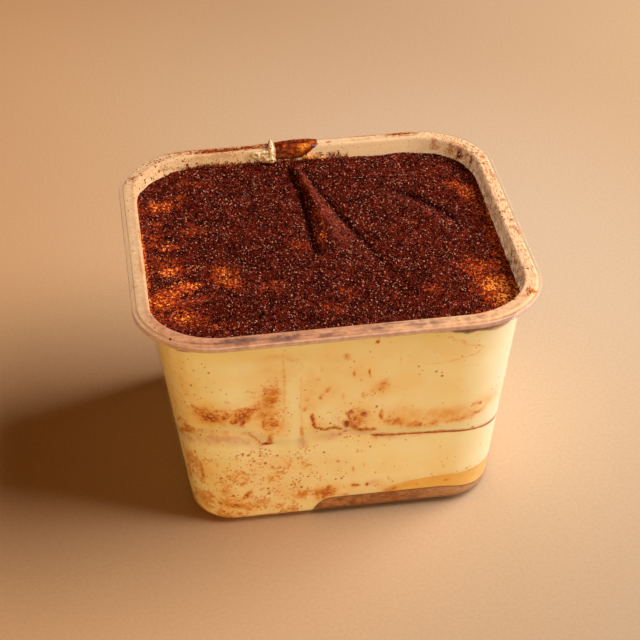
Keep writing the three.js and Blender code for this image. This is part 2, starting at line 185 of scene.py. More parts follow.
def tub_rings(station):
    """Rings of the tub's shell: out over the base, up the wall, out under the flange, round the lip,
    in over the step and the flange, down the inner wall and in over the floor."""
    foot_turns = np.linspace(np.pi / 2, 0, FOOT_ROWS)
    foot_heights = FOOT_RADIUS * (1 - np.sin(foot_turns))
    outer_heights = np.concatenate([foot_heights, np.linspace(7, 58, 14), np.linspace(60, UNDER_RIM, 30)])
    rings = [ring(station, wall_size(height, 0), height) for height in outer_heights]
    step_top = RIM_TOP - STEP_DOWN
    lip = [
        (0.75, UNDER_RIM - STEP_DOWN), (0.7, RIM_TOP - LIP_DEPTH + 0.1), (0.45, RIM_TOP - LIP_DEPTH),
        (0.1, RIM_TOP - LIP_DEPTH), (0.0, RIM_TOP - LIP_DEPTH + 0.15), (0.0, step_top - 0.4),
        (0.08, step_top - 0.15), (0.25, step_top), (0.6, step_top), (STEP_IN - 0.1, step_top),
        (STEP_IN + 0.1, RIM_TOP - 0.06), (STEP_IN + 0.25, RIM_TOP),
    ]
    rings += [ring(station, rim_size(drawn_in), height) for drawn_in, height in lip]
    rings += [ring(station, rim_size(drawn_in), RIM_TOP) for drawn_in in np.linspace(1.7, RIM_WIDTH + 0.1, 9)]
    for turn in np.radians([20, 45, 70]):
        height = RIM_TOP - 0.7 + 0.7 * np.cos(turn)
        rings.append(ring(station, rim_size(RIM_WIDTH + 0.1 + 0.7 * np.sin(turn)), height))
    at_rim = np.linspace(UNDER_RIM, 61, INNER_ROWS_AT_RIM)
    inner_heights = np.concatenate([at_rim, np.linspace(57, 4.5, INNER_ROWS_BELOW)])
    rings += [ring(station, wall_size(height, WALL), height) for height in inner_heights]
    inner_foot = FOOT_RADIUS - (FOOT_RADIUS - WALL) * np.sin(foot_turns[::-1])
    rings += [ring(station, wall_size(height, WALL), height) for height in inner_foot]
    return np.array(rings)


def blot(x, y, middle, half_length, half_width, tilt):
    """An oval blot, 1 in its middle and fading like a bell: x and y are turned by the tilt in degrees
    and divided by its half sizes."""
    turn = np.radians(tilt)
    along = (x - middle[0]) * np.cos(turn) + (y - middle[1]) * np.sin(turn)
    across = (y - middle[1]) * np.cos(turn) - (x - middle[0]) * np.sin(turn)
    return np.exp(-((along / half_length) ** 2) - (across / half_width) ** 2)


def blots(x, y, rows):
    """The strongest of a list of blots at each point. A row is x, y, half length, half width, tilt and
    strength."""
    most = np.zeros(np.broadcast(x, y).shape)
    for middle_x, middle_y, half_length, half_width, tilt, strength in rows:
        most = np.maximum(most, strength * blot(x, y, (middle_x, middle_y), half_length, half_width, tilt))
    return most


# Brown smears on the rim, seen from above: x, y, half length, half width, tilt, strength.
RIM_SMEARS = [
    (-29, 50.7, 9, 0.5, 1, 1.6), (-24, 49.2, 8, 0.9, 1, 2.5), (-15.5, 49.6, 4, 1.2, 0, 2.2),
    (-37, 50.2, 2.8, 0.6, 0, 1.3), (-10.6, 50.2, 3.4, 1.7, 0, 1.1), (-9.2, 51.5, 1.4, 0.5, 0, 1.5),
    (-30, 46.8, 1.2, 0.9, 0, 0.5), (-22, 47.6, 5, 0.5, 0, 0.45), (31, 50.3, 5, 1.0, -2, 1.9),
    (19, 50.9, 6, 0.5, 0, 1.1), (46, 38.5, 1.6, 1.8, -30, 1.5), (48.8, 34, 1.0, 1.2, 0, 1.4),
    (33, 49.6, 3, 0.9, -20, 0.8), (40.5, 45.4, 1.6, 0.7, -40, 0.7), (44.8, 42.6, 1.0, 1.2, -40, 0.75),
    (47.6, 40.6, 2.4, 0.5, -40, 0.6), (52.5, 32.4, 0.9, 1.6, -10, 0.7), (50.8, 29, 0.5, 0.8, 0, 0.7),
    (-50.8, 37, 0.8, 0.9, 0, 1.0), (-49.6, 38, 1.6, 0.45, 30, 0.7), (-50.9, 29, 0.55, 6, 0, 0.42),
    (50.4, -39.7, 1.5, 1.3, 0, 0.95), (48.2, -41.4, 1.6, 0.9, 0, 0.6), (8.7, 48.9, 0.75, 0.5, 0, 1.3),
    (53.2, 20.8, 0.7, 4, 8, 0.75), (51.2, 7.3, 0.45, 0.5, 0, 1.1), (52.4, 7.2, 0.4, 0.5, 0, 1.1),
    (52.9, -3.6, 0.45, 0.8, 0, 1.1), (53.4, -9.8, 0.7, 3, 10, 0.75), (51.2, -13.7, 0.35, 0.4, 0, 1.0),
    (50.8, -27.7, 0.35, 0.4, 0, 1.0), (51.6, 24, 0.4, 3, -12, 0.5), (50.6, 14, 0.4, 4, -12, 0.45),
    (-50.5, 7.2, 0.5, 4, 0, 0.6), (-51.2, -10, 0.45, 8, 2, 0.5), (-54.2, -19.2, 0.4, 0.6, 0, 0.7),
    (-26, -51.2, 11, 0.3, 0, 0.6),
]

# Grey-mauve patches of wet dust on the front flange.
FRONT_PATCHES = [
    (-29, -50.0, 6, 1.7, 3, 1.0), (-17, -50.2, 5, 1.3, 0, 0.95), (-5, -50.8, 5, 0.9, 0, 0.6),
    (6, -50.0, 7, 1.1, 0, 0.6), (20, -49.9, 7, 1.3, 0, 0.55), (33, -49.4, 6, 1.2, 6, 0.45),
    (-38, -49.4, 3, 1.0, -12, 0.4), (12, -48.6, 16, 0.45, 0, 0.5),
]

# Under the rim at the front right a grey-brown band is painted on the wall: partly the crust's damp
# edge and dusty inner wall seen through it, and partly painted shade under the rim. Places along X,
# and the height of the band's lower edge at each.
BAND_AT = [4, 9.6, 20, 27.8, 31.5, 35, 39.2, 44, 49.6, 52]
BAND_EDGE = [67.0, 65.4, 65.6, 64.6, 63.6, 64.1, 63.5, 63.3, 63.4, 65.0]

tub_station = np.linspace(0, 8, 640, endpoint=False)
tub_shell = tub_rings(tub_station)
shell_points, shell_quads, shell_triangles = ring_solid(tub_shell)
x, y, z = shell_points.T

# How far in from the rim's outer edge a point lies, and whether it is on top or on the inner wall.
from_edge = np.minimum(RIM_HALF_X - abs(x), RIM_HALF_Y - abs(y))
corner_x = np.maximum(abs(x) - (RIM_HALF_X - RIM_CORNER), 0)
corner_y = np.maximum(abs(y) - (RIM_HALF_Y - RIM_CORNER), 0)
in_corner = (corner_x > 0) & (corner_y > 0)
from_edge = np.where(in_corner, RIM_CORNER - np.hypot(corner_x, corner_y), from_edge)
ring_number = np.arange(len(x)) // len(tub_station)
inner_side = ring_number >= len(tub_shell) - INNER_ROWS_AT_RIM - INNER_ROWS_BELOW - FOOT_ROWS
on_flange = (z > RIM_TOP - 0.5) & (from_edge > STEP_IN)
on_lip = (z > RIM_TOP - LIP_DEPTH - 0.1) & (from_edge <= STEP_IN)
on_inner_wall = inner_side & (z > DUSTED_FROM)
dusted = on_flange | on_inner_wall

# The film is thick and rosy in front, and thinner and paler at the sides and the back. Pale lines of
# film along the lip's edge and the step are painted highlights, where the plastic's edges catch the
# light, and the film on the lip in front is partly painted glow of that edge.
front = smooth((-y - 20) / 30)
right = smooth((x - 30) / 20)
streaks = 0.6 * cloud(x * 0.4 + y * 0.2, y * 1.5 + z * 2, 0.9, 11) + 0.4 * cloud(x, y, 3.5, 12)
film_and_edge_light = np.where(on_flange, 0.5 + 0.34 * front + 0.08 * right, 0)
film_and_edge_light = film_and_edge_light * (1 - 0.5 * smooth((-x - 40) / 8) * smooth((3 - from_edge) / 1.5) * (1 - front))
film_and_edge_light = film_and_edge_light + np.where(on_lip, (0.06 + 0.6 * front) * (1 - 0.6 * right), 0)
film_and_edge_light = (film_and_edge_light + np.where(on_inner_wall, 0.6 + 0.15 * right, 0)) * (0.76 + 0.48 * streaks)
# Painted highlights: pale lines along the lip's outer edge and along the step.
edge_highlight_lines = 0.55 * bell(from_edge - 0.12, 0.12) + 0.45 * bell(from_edge - 1.3, 0.16)
film_and_edge_light = film_and_edge_light + edge_highlight_lines * (z > RIM_TOP - 0.6) * (0.5 + 0.8 * cloud(x, y, 5, 14))
# Rosy tint: partly the dust's own colour, partly painted shade for the dark wall seen through the flange.
rosy_and_shaded = front * (1 - 0.4 * smooth((x + 10) / 35))
rosy_and_shaded = np.clip(rosy_and_shaded + 0.5 * bell(from_edge - 4, 1.2) * smooth((-x - 30) / 15), 0, 1)
smear = blots(x, y, RIM_SMEARS) * (z > UNDER_RIM - 3) * (0.5 + 0.9 * cloud(x, y, 0.8, 13))
patch_and_shade = blots(x, y, FRONT_PATCHES) * (z > RIM_TOP - LIP_DEPTH - 0.1)

# The band of damp dust and painted shade hangs down from under the lip to a ragged edge, where it is darkest.
above_edge = z - np.interp(x, BAND_AT, BAND_EDGE) - 0.5 * (cloud(x, z, 1.8, 15) - 0.5)
band_place = ~inner_side & (z < RIM_TOP - LIP_DEPTH) & (y < -20)
band_ends = smooth((x - 4) / 5) * smooth((-30 - y) / 8)
damp_band_and_shade = smooth(above_edge / 0.9) * (0.75 + 0.25 * cloud(x, z, 3, 16))
damp_band_and_shade = damp_band_and_shade + 0.5 * smooth((x - 8) / 6) * bell(above_edge - 0.3, 0.35)
patch_and_shade = np.maximum(patch_and_shade, damp_band_and_shade * band_place * band_ends)

# Brush strokes run along the right side. Specks lie everywhere, and most thickly at the back left.
brush = np.where(dusted, right * smooth((y + 46) / 20), 0)
speckle = np.where(dusted, 0.12 + 0.4 * right * smooth((y + 45) / 30), 0)
speckle = speckle + 1.5 * dusted * bell(np.hypot(x + 43, y - 42), 12)
speckle = speckle + 0.4 * on_inner_wall * smooth((-x - 25) / 10)

# A thin dark line of wet cocoa runs along the step of the front flange.
step_line = bell(from_edge - 1.7, 0.22) * (z > RIM_TOP - 0.5) * front * smooth((24 - abs(x + 22)) / 8)
patch_and_shade = np.maximum(patch_and_shade, 1.1 * step_line * (0.3 + 0.9 * cloud(x, y, 4, 17)))

# Faces that stand upright in front, where the dust is painted paler and more mauve than on the flange:
# a tint painted to make up for the warm front lamp that lights them.
upright_painted_tint = np.where(on_lip | band_place, 1.0, 0.0) * (z < RIM_TOP - STEP_DOWN - 0.1)

# Plastic that is wetted by the food behind it doesn't mirror there.
bare = np.where(inner_side & (z < WETTED_UP_TO), 0.0, 1.0)

clear_tub = make_piece(
    "clear_tub", shell_points, shell_quads, shell_triangles,
    {
        "film_and_edge_light": film_and_edge_light, "rosy_and_shaded": rosy_and_shaded, "smear": smear, "patch_and_shade": patch_and_shade, "brush": brush,
        "speckle": speckle, "bare": bare, "upright_painted_tint": upright_painted_tint,
    },
    np.radians(50),
)


def srgb(red, green, blue):
    """A colour given in screen steps from 0 to 255, as the light that it stands for."""
    part = np.array([red, green, blue]) / 255
    return (*np.where(part <= 0.04045, part / 12.92, ((part + 0.055) / 1.055) ** 2.4), 1.0)


def join(tree, made, joined):
    """Sets each named socket of a node to its value, or joins it to another node's socket."""
    for socket, value in joined.items():
        if isinstance(value, bpy.types.NodeSocket):
            tree.links.new(value, made.inputs[socket])
        else:
            made.inputs[socket].default_value = value


def node(tree, kind, joined=None, **settings):
    """A shader node with its settings, and its sockets set to values or joined to other sockets."""
    made = tree.nodes.new(kind)
    for name, value in settings.items():
        setattr(made, name, value)
    join(tree, made, joined or {})
    return made


def maths(tree, operation, first, second=0.0, third=0.0, clamp=False):
    """One step of arithmetic on sockets or numbers. Only a product with a sum takes the third."""
    numbers = {0: first, 1: second, 2: third}
    return node(tree, "ShaderNodeMath", numbers, operation=operation, use_clamp=clamp).outputs[0]


def product(tree, first, second, clamp=False):
    """One amount times another."""
    return maths(tree, "MULTIPLY", first, second, clamp=clamp)


def larger(tree, first, second, clamp=False):
    """The larger of two amounts."""
    return maths(tree, "MAXIMUM", first, second, clamp=clamp)


def between(tree, value, low, high, to_low=0.0, to_high=1.0):
    """A value spread smoothly from low..high to to_low..to_high."""
    spread = {"Value": value, "From Min": low, "From Max": high, "To Min": to_low, "To Max": to_high}
    return node(tree, "ShaderNodeMapRange", spread, interpolation_type="SMOOTHSTEP").outputs[0]


def blended(tree, factor, first, second, blend_type="MIX"):
    """Two colours mixed by a factor."""
    colours = {0: factor, 6: first, 7: second}
    return node(tree, "ShaderNodeMix", colours, data_type="RGBA", blend_type=blend_type).outputs[2]


def mark_of(tree, name):
    """The amount of a mark that a piece carries at its points."""
    return node(tree, "ShaderNodeAttribute", attribute_name=name).outputs["Fac"]


def grain(tree, size, detail=2.0, roughness=0.5, stretch=(1, 1, 1)):
    """Noise from 0 to 1 with lumps of a size in millimetres, divided along each axis by its stretch."""
    place = node(tree, "ShaderNodeTexCoord").outputs["Object"]
    if stretch != (1, 1, 1):
        place = node(tree, "ShaderNodeMapping", {"Vector": place, "Scale": stretch}).outputs[0]
    settings = {"Vector": place, "Scale": 1 / (size * MM), "Detail": detail, "Roughness": roughness}
    return node(tree, "ShaderNodeTexNoise", settings).outputs["Fac"]


def clouded_mark(tree, name, noise, low, high, to_low=0.0, to_high=1.0, clamp=False):
    """A mark's amount, made uneven by noise that is spread from low..high to to_low..to_high."""
    return product(tree, mark_of(tree, name), between(tree, noise, low, high, to_low, to_high), clamp)


def specks(tree, spacing, amount, size=0.3):
    """1 inside scattered round specks and 0 outside: the middles of a share of random cells, the share
    given by amount and the specks' size as a part of the spacing."""
    place = node(tree, "ShaderNodeTexCoord").outputs["Object"]
    cells = node(tree, "ShaderNodeTexVoronoi", {"Vector": place, "Scale": 1 / (spacing * MM)})
    chance = node(tree, "ShaderNodeSeparateColor", {"Color": cells.outputs["Color"]})
    chosen = maths(tree, "LESS_THAN", chance.outputs[0], amount)
    smallest = 0.45 * size
    reach = maths(tree, "MULTIPLY_ADD", chance.outputs[1], size, smallest)
    inside = maths(tree, "SUBTRACT", reach, cells.outputs["Distance"])
    return product(tree, chosen, between(tree, inside, 0.0, 0.12))


def new_finish(name):
    """An empty material with its output and its one main shader."""
    finish = bpy.data.materials.new(name)
    finish.use_nodes = True
    finish.node_tree.nodes.clear()
    output = node(finish.node_tree, "ShaderNodeOutputMaterial")
    shader = node(finish.node_tree, "ShaderNodeBsdfPrincipled")
    finish.node_tree.links.new(shader.outputs[0], output.inputs[0])
    return finish, finish.node_tree, shader, output


PLASTIC_IOR = 1.46
MOST_GLOSS = 0.16


def dusty_plastic():
    """Clear plastic that mirrors a little more at a glancing angle, under a pale or rosy film, brown
    smears and brush strokes, grey patches and brown specks of cocoa. The film carries painted highlight
    lines on the lip, the rosy tint and the grey band under the front rim are partly painted shade, and
    upright faces carry a tint painted for the light on them."""
    finish, tree, shader, output = new_finish("dusty_clear_plastic")
    film_and_edge_light = clouded_mark(tree, "film_and_edge_light", grain(tree, 1.8, 3), 0.3, 0.7, 0.75, 1.2)
    smeared = clouded_mark(tree, "smear", grain(tree, 0.7, 4), 0.3, 0.54)
    strokes = grain(tree, 0.42, 3, 0.6, (1, 0.2, 0.45))
    brushed = clouded_mark(tree, "brush", strokes, 0.48, 0.64, 0, 0.75)
    patch_and_shade = clouded_mark(tree, "patch_and_shade", grain(tree, 2.2, 3), 0.3, 0.6, 0.45, 1.1)
    sprinkled = clouded_mark(tree, "speckle", grain(tree, 2.4, 2), 0.36, 0.62, 0.3, 1.2)
    fine_speck = product(tree, specks(tree, 0.55, sprinkled), 0.85)
    coarse_speck = specks(tree, 1.15, product(tree, sprinkled, 0.45), 0.32)
    speck = larger(tree, fine_speck, coarse_speck)
    brown = larger(tree, larger(tree, smeared, speck), brushed, clamp=True)
    dust = larger(tree, film_and_edge_light, product(tree, patch_and_shade, 0.95), clamp=True)
    cover = larger(tree, dust, brown, clamp=True)
    glancing = node(tree, "ShaderNodeFresnel", {"IOR": PLASTIC_IOR}).outputs[0]
    mirrored = maths(tree, "MINIMUM", glancing, MOST_GLOSS)
    gloss = product(tree, mirrored, mark_of(tree, "bare"))
    solid = larger(tree, cover, gloss, clamp=True)
    upright_painted_tint = mark_of(tree, "upright_painted_tint")
    # Pale film, and rosy in front, where the rosy tint is partly painted shade.
    colour = blended(tree, mark_of(tree, "rosy_and_shaded"), srgb(255, 212, 162), srgb(210, 148, 114))
    # Upright faces get a paler, more mauve tint, painted for the light on them.
    colour = blended(tree, upright_painted_tint, colour, srgb(220, 180, 170))
    grey = blended(tree, upright_painted_tint, srgb(136, 97, 86), srgb(162, 134, 140))
    # Grey patches of wet dust, and the grey band under the front rim, which is partly painted shade.
    colour = blended(tree, between(tree, patch_and_shade, 0.05, 0.7), colour, grey)
    dark_grey = blended(tree, upright_painted_tint, srgb(96, 58, 44), srgb(98, 74, 76))
    colour = blended(tree, between(tree, patch_and_shade, 0.7, 1.2), colour, dark_grey)
    colour = blended(tree, between(tree, brown, 0.1, 0.5), colour, srgb(208, 116, 44))
    colour = blended(tree, between(tree, brown, 0.5, 1.1), colour, srgb(126, 42, 8))
    clean = maths(tree, "SUBTRACT", 1.0, product(tree, cover, 8.0, clamp=True), clamp=True)
    join(tree, shader, {
        "Base Color": blended(tree, clean, colour, (1, 1, 1, 1)),
        "Metallic": clean,
        "Roughness": between(tree, cover, 0.0, 0.4, 0.12, 0.8),
        "Specular IOR Level": 0.08,
    })
    clear = node(tree, "ShaderNodeBsdfTransparent", {"Color": (0.985, 0.98, 0.97, 1)})
    mix = node(tree, "ShaderNodeMixShader", {0: solid, 1: clear.outputs[0], 2: shader.outputs[0]})
    join(tree, output, {"Surface": mix.outputs[0]})
    return finish


clear_tub.data.materials.append(dusty_plastic())
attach(clear_tub, "root")
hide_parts("tub")

# ---- Layers against the wall ---------------------------------------------------------------------
# All layers are poured or pressed into the tub, so each fills it from wall to wall and wets the
# plastic without a gap. Coffee and cocoa have bled along the wall between them.

FLOOR_INSET = 0.65
SEAM_HEIGHT = 30.2
SEAM_SLOPE = -0.055
SEAM_THICKNESS = 0.9
SEAM_SWELLS = [
    (-48, -34, -3.5, 8), (-33, -44, 5.6, 9), (-17, -44, -2.4, 6), (-3, -44, 3.2, 7), (45, -34, -1.6, 10),
    (18, 44, 1.8, 14), (-24, 44, -1.6, 12), (-44, 8, 1.4, 12), (44, 16, 1.6, 12),
]
BISCUIT_LEFT_END = -9.5
BISCUIT_NOSE = 6
BISCUIT_HEIGHT = 6.5
BISCUIT_RIGHT_DROP = 2.2
DROP_START = 26
DROP_LENGTH = 16
STAINED_LEFT_END = 10.5
STAINED_HEIGHT = 11.2
STAINED_RISE = 4.4
STAINED_RISE_START = 9
STAINED_RISE_LENGTH = 7.5

# Layers lie this much into each other, so that no gap shows, and have this many rings on each cap.
OVERLAP = 0.05
CAP_RINGS = 5

# Rough lengths of the wall's long and short sides and of its corners, for spreading points along it.
LONG_RUN = 58
SHORT_RUN = 54
CORNER_RUN = 26


def swells(rows, x, y):
    """Round swells added up: x, y, height and reach of each, as bells."""
    return sum(rise * bell(np.hypot(x - at_x, y - at_y), reach) for at_x, at_y, rise, reach in rows)


def seam_bottom(x, y):
    """Height of the seam's underside: a slope to the right with swells."""
    return SEAM_HEIGHT + SEAM_SLOPE * x + swells(SEAM_SWELLS, x, y)


def seam_top(x, y):
    """The seam is evenly thick."""
    return seam_bottom(x, y) + SEAM_THICKNESS


def biscuit_top(x, y):
    """Level, with a left end like a quarter ellipse, and sinking at the right."""
    short = np.clip(1 - (x - BISCUIT_LEFT_END) / BISCUIT_NOSE, 0, 1)
    drop = BISCUIT_RIGHT_DROP * smooth((x - DROP_START) / DROP_LENGTH)
    rise = BISCUIT_HEIGHT * np.sqrt(1 - short * short) - drop
    return np.where(x > BISCUIT_LEFT_END, np.maximum(rise, FLOOR_INSET), FLOOR_INSET)


def stained_top(x, y):
    """Rises quickly from its thin left end and then levels off, as one less a falling exponential."""
    rise = STAINED_HEIGHT - STAINED_RISE * np.exp((STAINED_RISE_START - x) / STAINED_RISE_LENGTH)
    begins = smooth((x - STAINED_LEFT_END) / 2)
    return biscuit_top(x, y) + np.maximum(rise - biscuit_top(x, y), 0) * begins


def floor_level(x, y):
    """The tub's floor, just inside the plastic."""
    return np.full(np.broadcast(x, y).shape, FLOOR_INSET)


def fine_stations(step, coarse_step):
    """Stations round the wall, closer along the front and its two corners than elsewhere."""
    lengths = [LONG_RUN, CORNER_RUN, SHORT_RUN, CORNER_RUN] * 2
    parts = []
    for part in (7, 0, 1, 2, 3, 4, 5, 6):
        spacing = step if part in (7, 0, 1) else coarse_step
        parts.append(np.linspace(part, part + 1, int(lengths[part] / spacing), endpoint=False))
    return np.concatenate(parts)


def wall_height(station, surface, inset):
    """Where a surface meets the leaning wall: the wall point and the surface's height are worked out
    from each other until they agree."""
    height = np.full(station.shape, 20.0)
    for _ in range(8):
        x, y = outline(station, *wall_size(height, inset))
        height = surface(x, y)
    return height


def layer_rings(station, bottom, top, inset, rows, foot_bias=1.0):
    """Rings of a layer between two surfaces: out over its underside, up the wall in rows, and in over
    its top. Rows gather at the foot as a power of their number."""
    low = wall_height(station, bottom, inset)
    high = wall_height(station, top, inset)
    shares = np.linspace(0, 1, rows) ** foot_bias
    heights = low + (high - low) * shares[:, None]
    x, y = outline(station, *wall_size(heights, inset))
    side = np.stack([x, y, heights], -1)
    scales = np.arange(1, CAP_RINGS + 1)[:, None] / (CAP_RINGS + 1)
    low_x, low_y = side[0, :, 0] * scales, side[0, :, 1] * scales
    high_x, high_y = side[-1, :, 0] * scales[::-1], side[-1, :, 1] * scales[::-1]
    underside = np.stack([low_x, low_y, bottom(low_x, low_y)], -1)
    upside = np.stack([high_x, high_y, top(high_x, high_y)], -1)
    return np.concatenate([underside, side, upside])


def unrolled(station, x, y, height):
    """Distance along the wall from the middle of the front, positive to the right and on round the
    tub as far as the left end of the left side, and negative round the front left corner."""
    half_x, half_y, corner = wall_size(height, 0)
    run_x, run_y = half_x - corner, half_y - corner
    arc = corner * np.pi / 2
    lengths = [2 * run_x, arc, 2 * run_y, arc, 2 * run_x, arc, 2 * run_y, arc]
    before = np.cumsum([np.zeros_like(run_x)] + lengths[:7], axis=0)
    part = np.floor(station).astype(int) % 8
    start = np.choose(part, before)
    length = np.choose(part, lengths)
    distance = start + length * (station % 1) - run_x
    return np.where(part == 7, distance - sum(lengths), distance)


# Coffee smears on the wall: distance along, height, half length, half width, tilt, strength.
COFFEE_SMEARS = [
    (-37, 42.3, 5.6, 2.8, -4, 0.9), (-33.5, 42.4, 3, 2.2, 0, 0.7), (-28.6, 42, 2.4, 2.6, 30, 1.0),
    (-26.6, 43.6, 1.4, 1.2, 30, 1.1), (-30.5, 40.8, 2.4, 1.6, 0, 0.85), (-45.8, 35.4, 1.8, 1.4, 0, 0.8),
    (-31, 17.5, 1.2, 0.5, 20, 0.6), (-29.3, 16.2, 0.8, 1, -20, 0.65), (-27.5, 18.4, 1.2, 0.4, 0, 0.5),
    (-36.3, 23.6, 0.6, 1.2, 0, 0.4), (-34, 3.2, 3.4, 1.0, 0, 0.7), (-28.5, 3.4, 2, 0.8, 0, 0.6),
    (-24.6, 44.6, 3.4, 1.9, 40, 0.55), (-20.4, 48, 4.6, 2.2, 75, 0.62), (-22.5, 41.5, 3.4, 2.6, 0, 0.42),
    (-41.2, 44.5, 0.7, 0.6, 0, 0.7), (-32.6, 47.7, 0.9, 0.5, -35, 0.7), (-44.8, 34.8, 2.9, 1.7, 28, 0.62),
    (-49.5, 31.4, 3, 1.0, 35, 0.6), (-20.2, 37.9, 1.7, 1.6, 0, 0.95), (-21.2, 38.0, 1.9, 1.8, 0, 0.7),
    (-20.9, 33.4, 0.8, 1.9, -12, 0.75), (-16.6, 61.3, 4.8, 1.3, -22, 0.3), (-12.5, 34.5, 0.7, 4, 0, 0.5),
    (-6.4, 47.6, 3, 1.0, 52, 0.5), (-7.3, 45.9, 1.1, 0.9, 0, 0.6), (-11.7, 42.4, 0.9, 0.9, 0, 0.6),
    (-11.3, 45.6, 0.6, 0.8, 0, 0.45), (-7, 56.4, 0.5, 1.6, 10, 0.42), (-8.1, 53, 0.8, 0.9, 0, 0.35),
    (-5.8, 60.7, 0.4, 0.8, 0, 0.4), (-0.4, 59.8, 1.2, 1.7, 20, 0.5), (1.7, 53.9, 0.5, 1.2, 0, 0.8),
    (5.7, 53.5, 0.45, 1.7, 0, 0.75), (3.5, 56, 0.7, 0.4, 40, 0.4), (9.4, 48.4, 2.9, 1.7, 52, 0.55),
    (7.2, 46.6, 1.6, 1.2, 20, 0.35), (4.1, 45.5, 0.7, 1.4, 0, 0.5), (-1.3, 45.6, 0.5, 1.3, 0, 0.4),
    (3, 37.5, 3.6, 3.6, 0, 0.5), (9.2, 37.3, 0.7, 2.2, 0, 0.7), (7, 40.4, 1.4, 0.5, 0, 0.4),
    (14, 34.7, 2.4, 1.6, -20, 0.62), (15.6, 38.2, 2.6, 2.3, 0, 0.3), (27, 36, 13, 3.4, 0, 0.26),
    (35.6, 37.6, 2.2, 1.2, 0, 0.35), (37.3, 37.4, 0.7, 0.8, 0, 0.6), (7.6, 64.1, 0.6, 0.9, 0, 0.8),
    (-41, 19.5, 0.8, 3.4, 6, 0.85), (-43.4, 26.5, 0.6, 0.8, 0, 0.7), (-28, 11.6, 0.9, 2.8, -40, 0.7),
    (-31, 7.7, 3, 1.1, -18, 0.85), (-27.8, 6.2, 1.6, 0.7, -30, 0.6), (-30.6, 4.4, 1.8, 0.7, 0, 0.6),
    (-40, 6, 4.5, 1.2, 0, 0.4), (-34.5, 13.4, 2.4, 2, 0, 0.4), (-38.6, 10.5, 0.7, 0.7, 0, 0.6),
    (-23.5, 13.4, 1.6, 0.7, 15, 0.45), (-13, 9.6, 3.4, 1.7, 8, 0.6), (-6.2, 9.2, 3, 2.2, 8, 0.9),
    (-5.3, 10.9, 1.8, 1.2, 25, 0.75), (-7.5, 15.6, 0.5, 1.5, 0, 0.5), (1.7, 17.6, 0.6, 1.3, 0, 0.5),
    (2.8, 24.7, 0.4, 1.2, -15, 0.5), (-2.3, 21.4, 0.8, 0.6, 10, 0.7), (4.7, 18.9, 0.3, 1, 0, 0.4),
    (-20.6, 21.6, 0.7, 1, 0, 0.4), (-16, 22.5, 1.5, 1.5, 0, 0.28), (2.4, 11.2, 1.4, 0.8, -12, 0.8),
    (5.8, 11.1, 0.7, 0.7, 0, 0.7), (11.7, 12.6, 0.5, 1.2, 15, 0.6), (13, 11.1, 0.4, 0.4, 0, 0.7),
    (27.1, 15.2, 0.4, 1.3, 20, 0.4), (24.1, 12.5, 0.4, 0.5, 0, 0.6), (34.4, 12.7, 0.5, 0.5, 0, 0.6),
    (19.9, 19.8, 0.4, 0.6, 0, 0.4), (30, 61.8, 3.4, 0.5, -24, 0.35), (-0.5, 7.9, 2, 0.8, 0, 0.5),
    (12.5, 8.2, 3.2, 1.0, 8, 0.55), (18, 9.2, 3, 0.8, 6, 0.4), (28.4, 9.5, 1.5, 0.9, 0, 0.55),
    (13.9, 3.9, 1.3, 0.7, 0, 0.8), (10, 3.8, 3.4, 0.6, 0, 0.4),
]

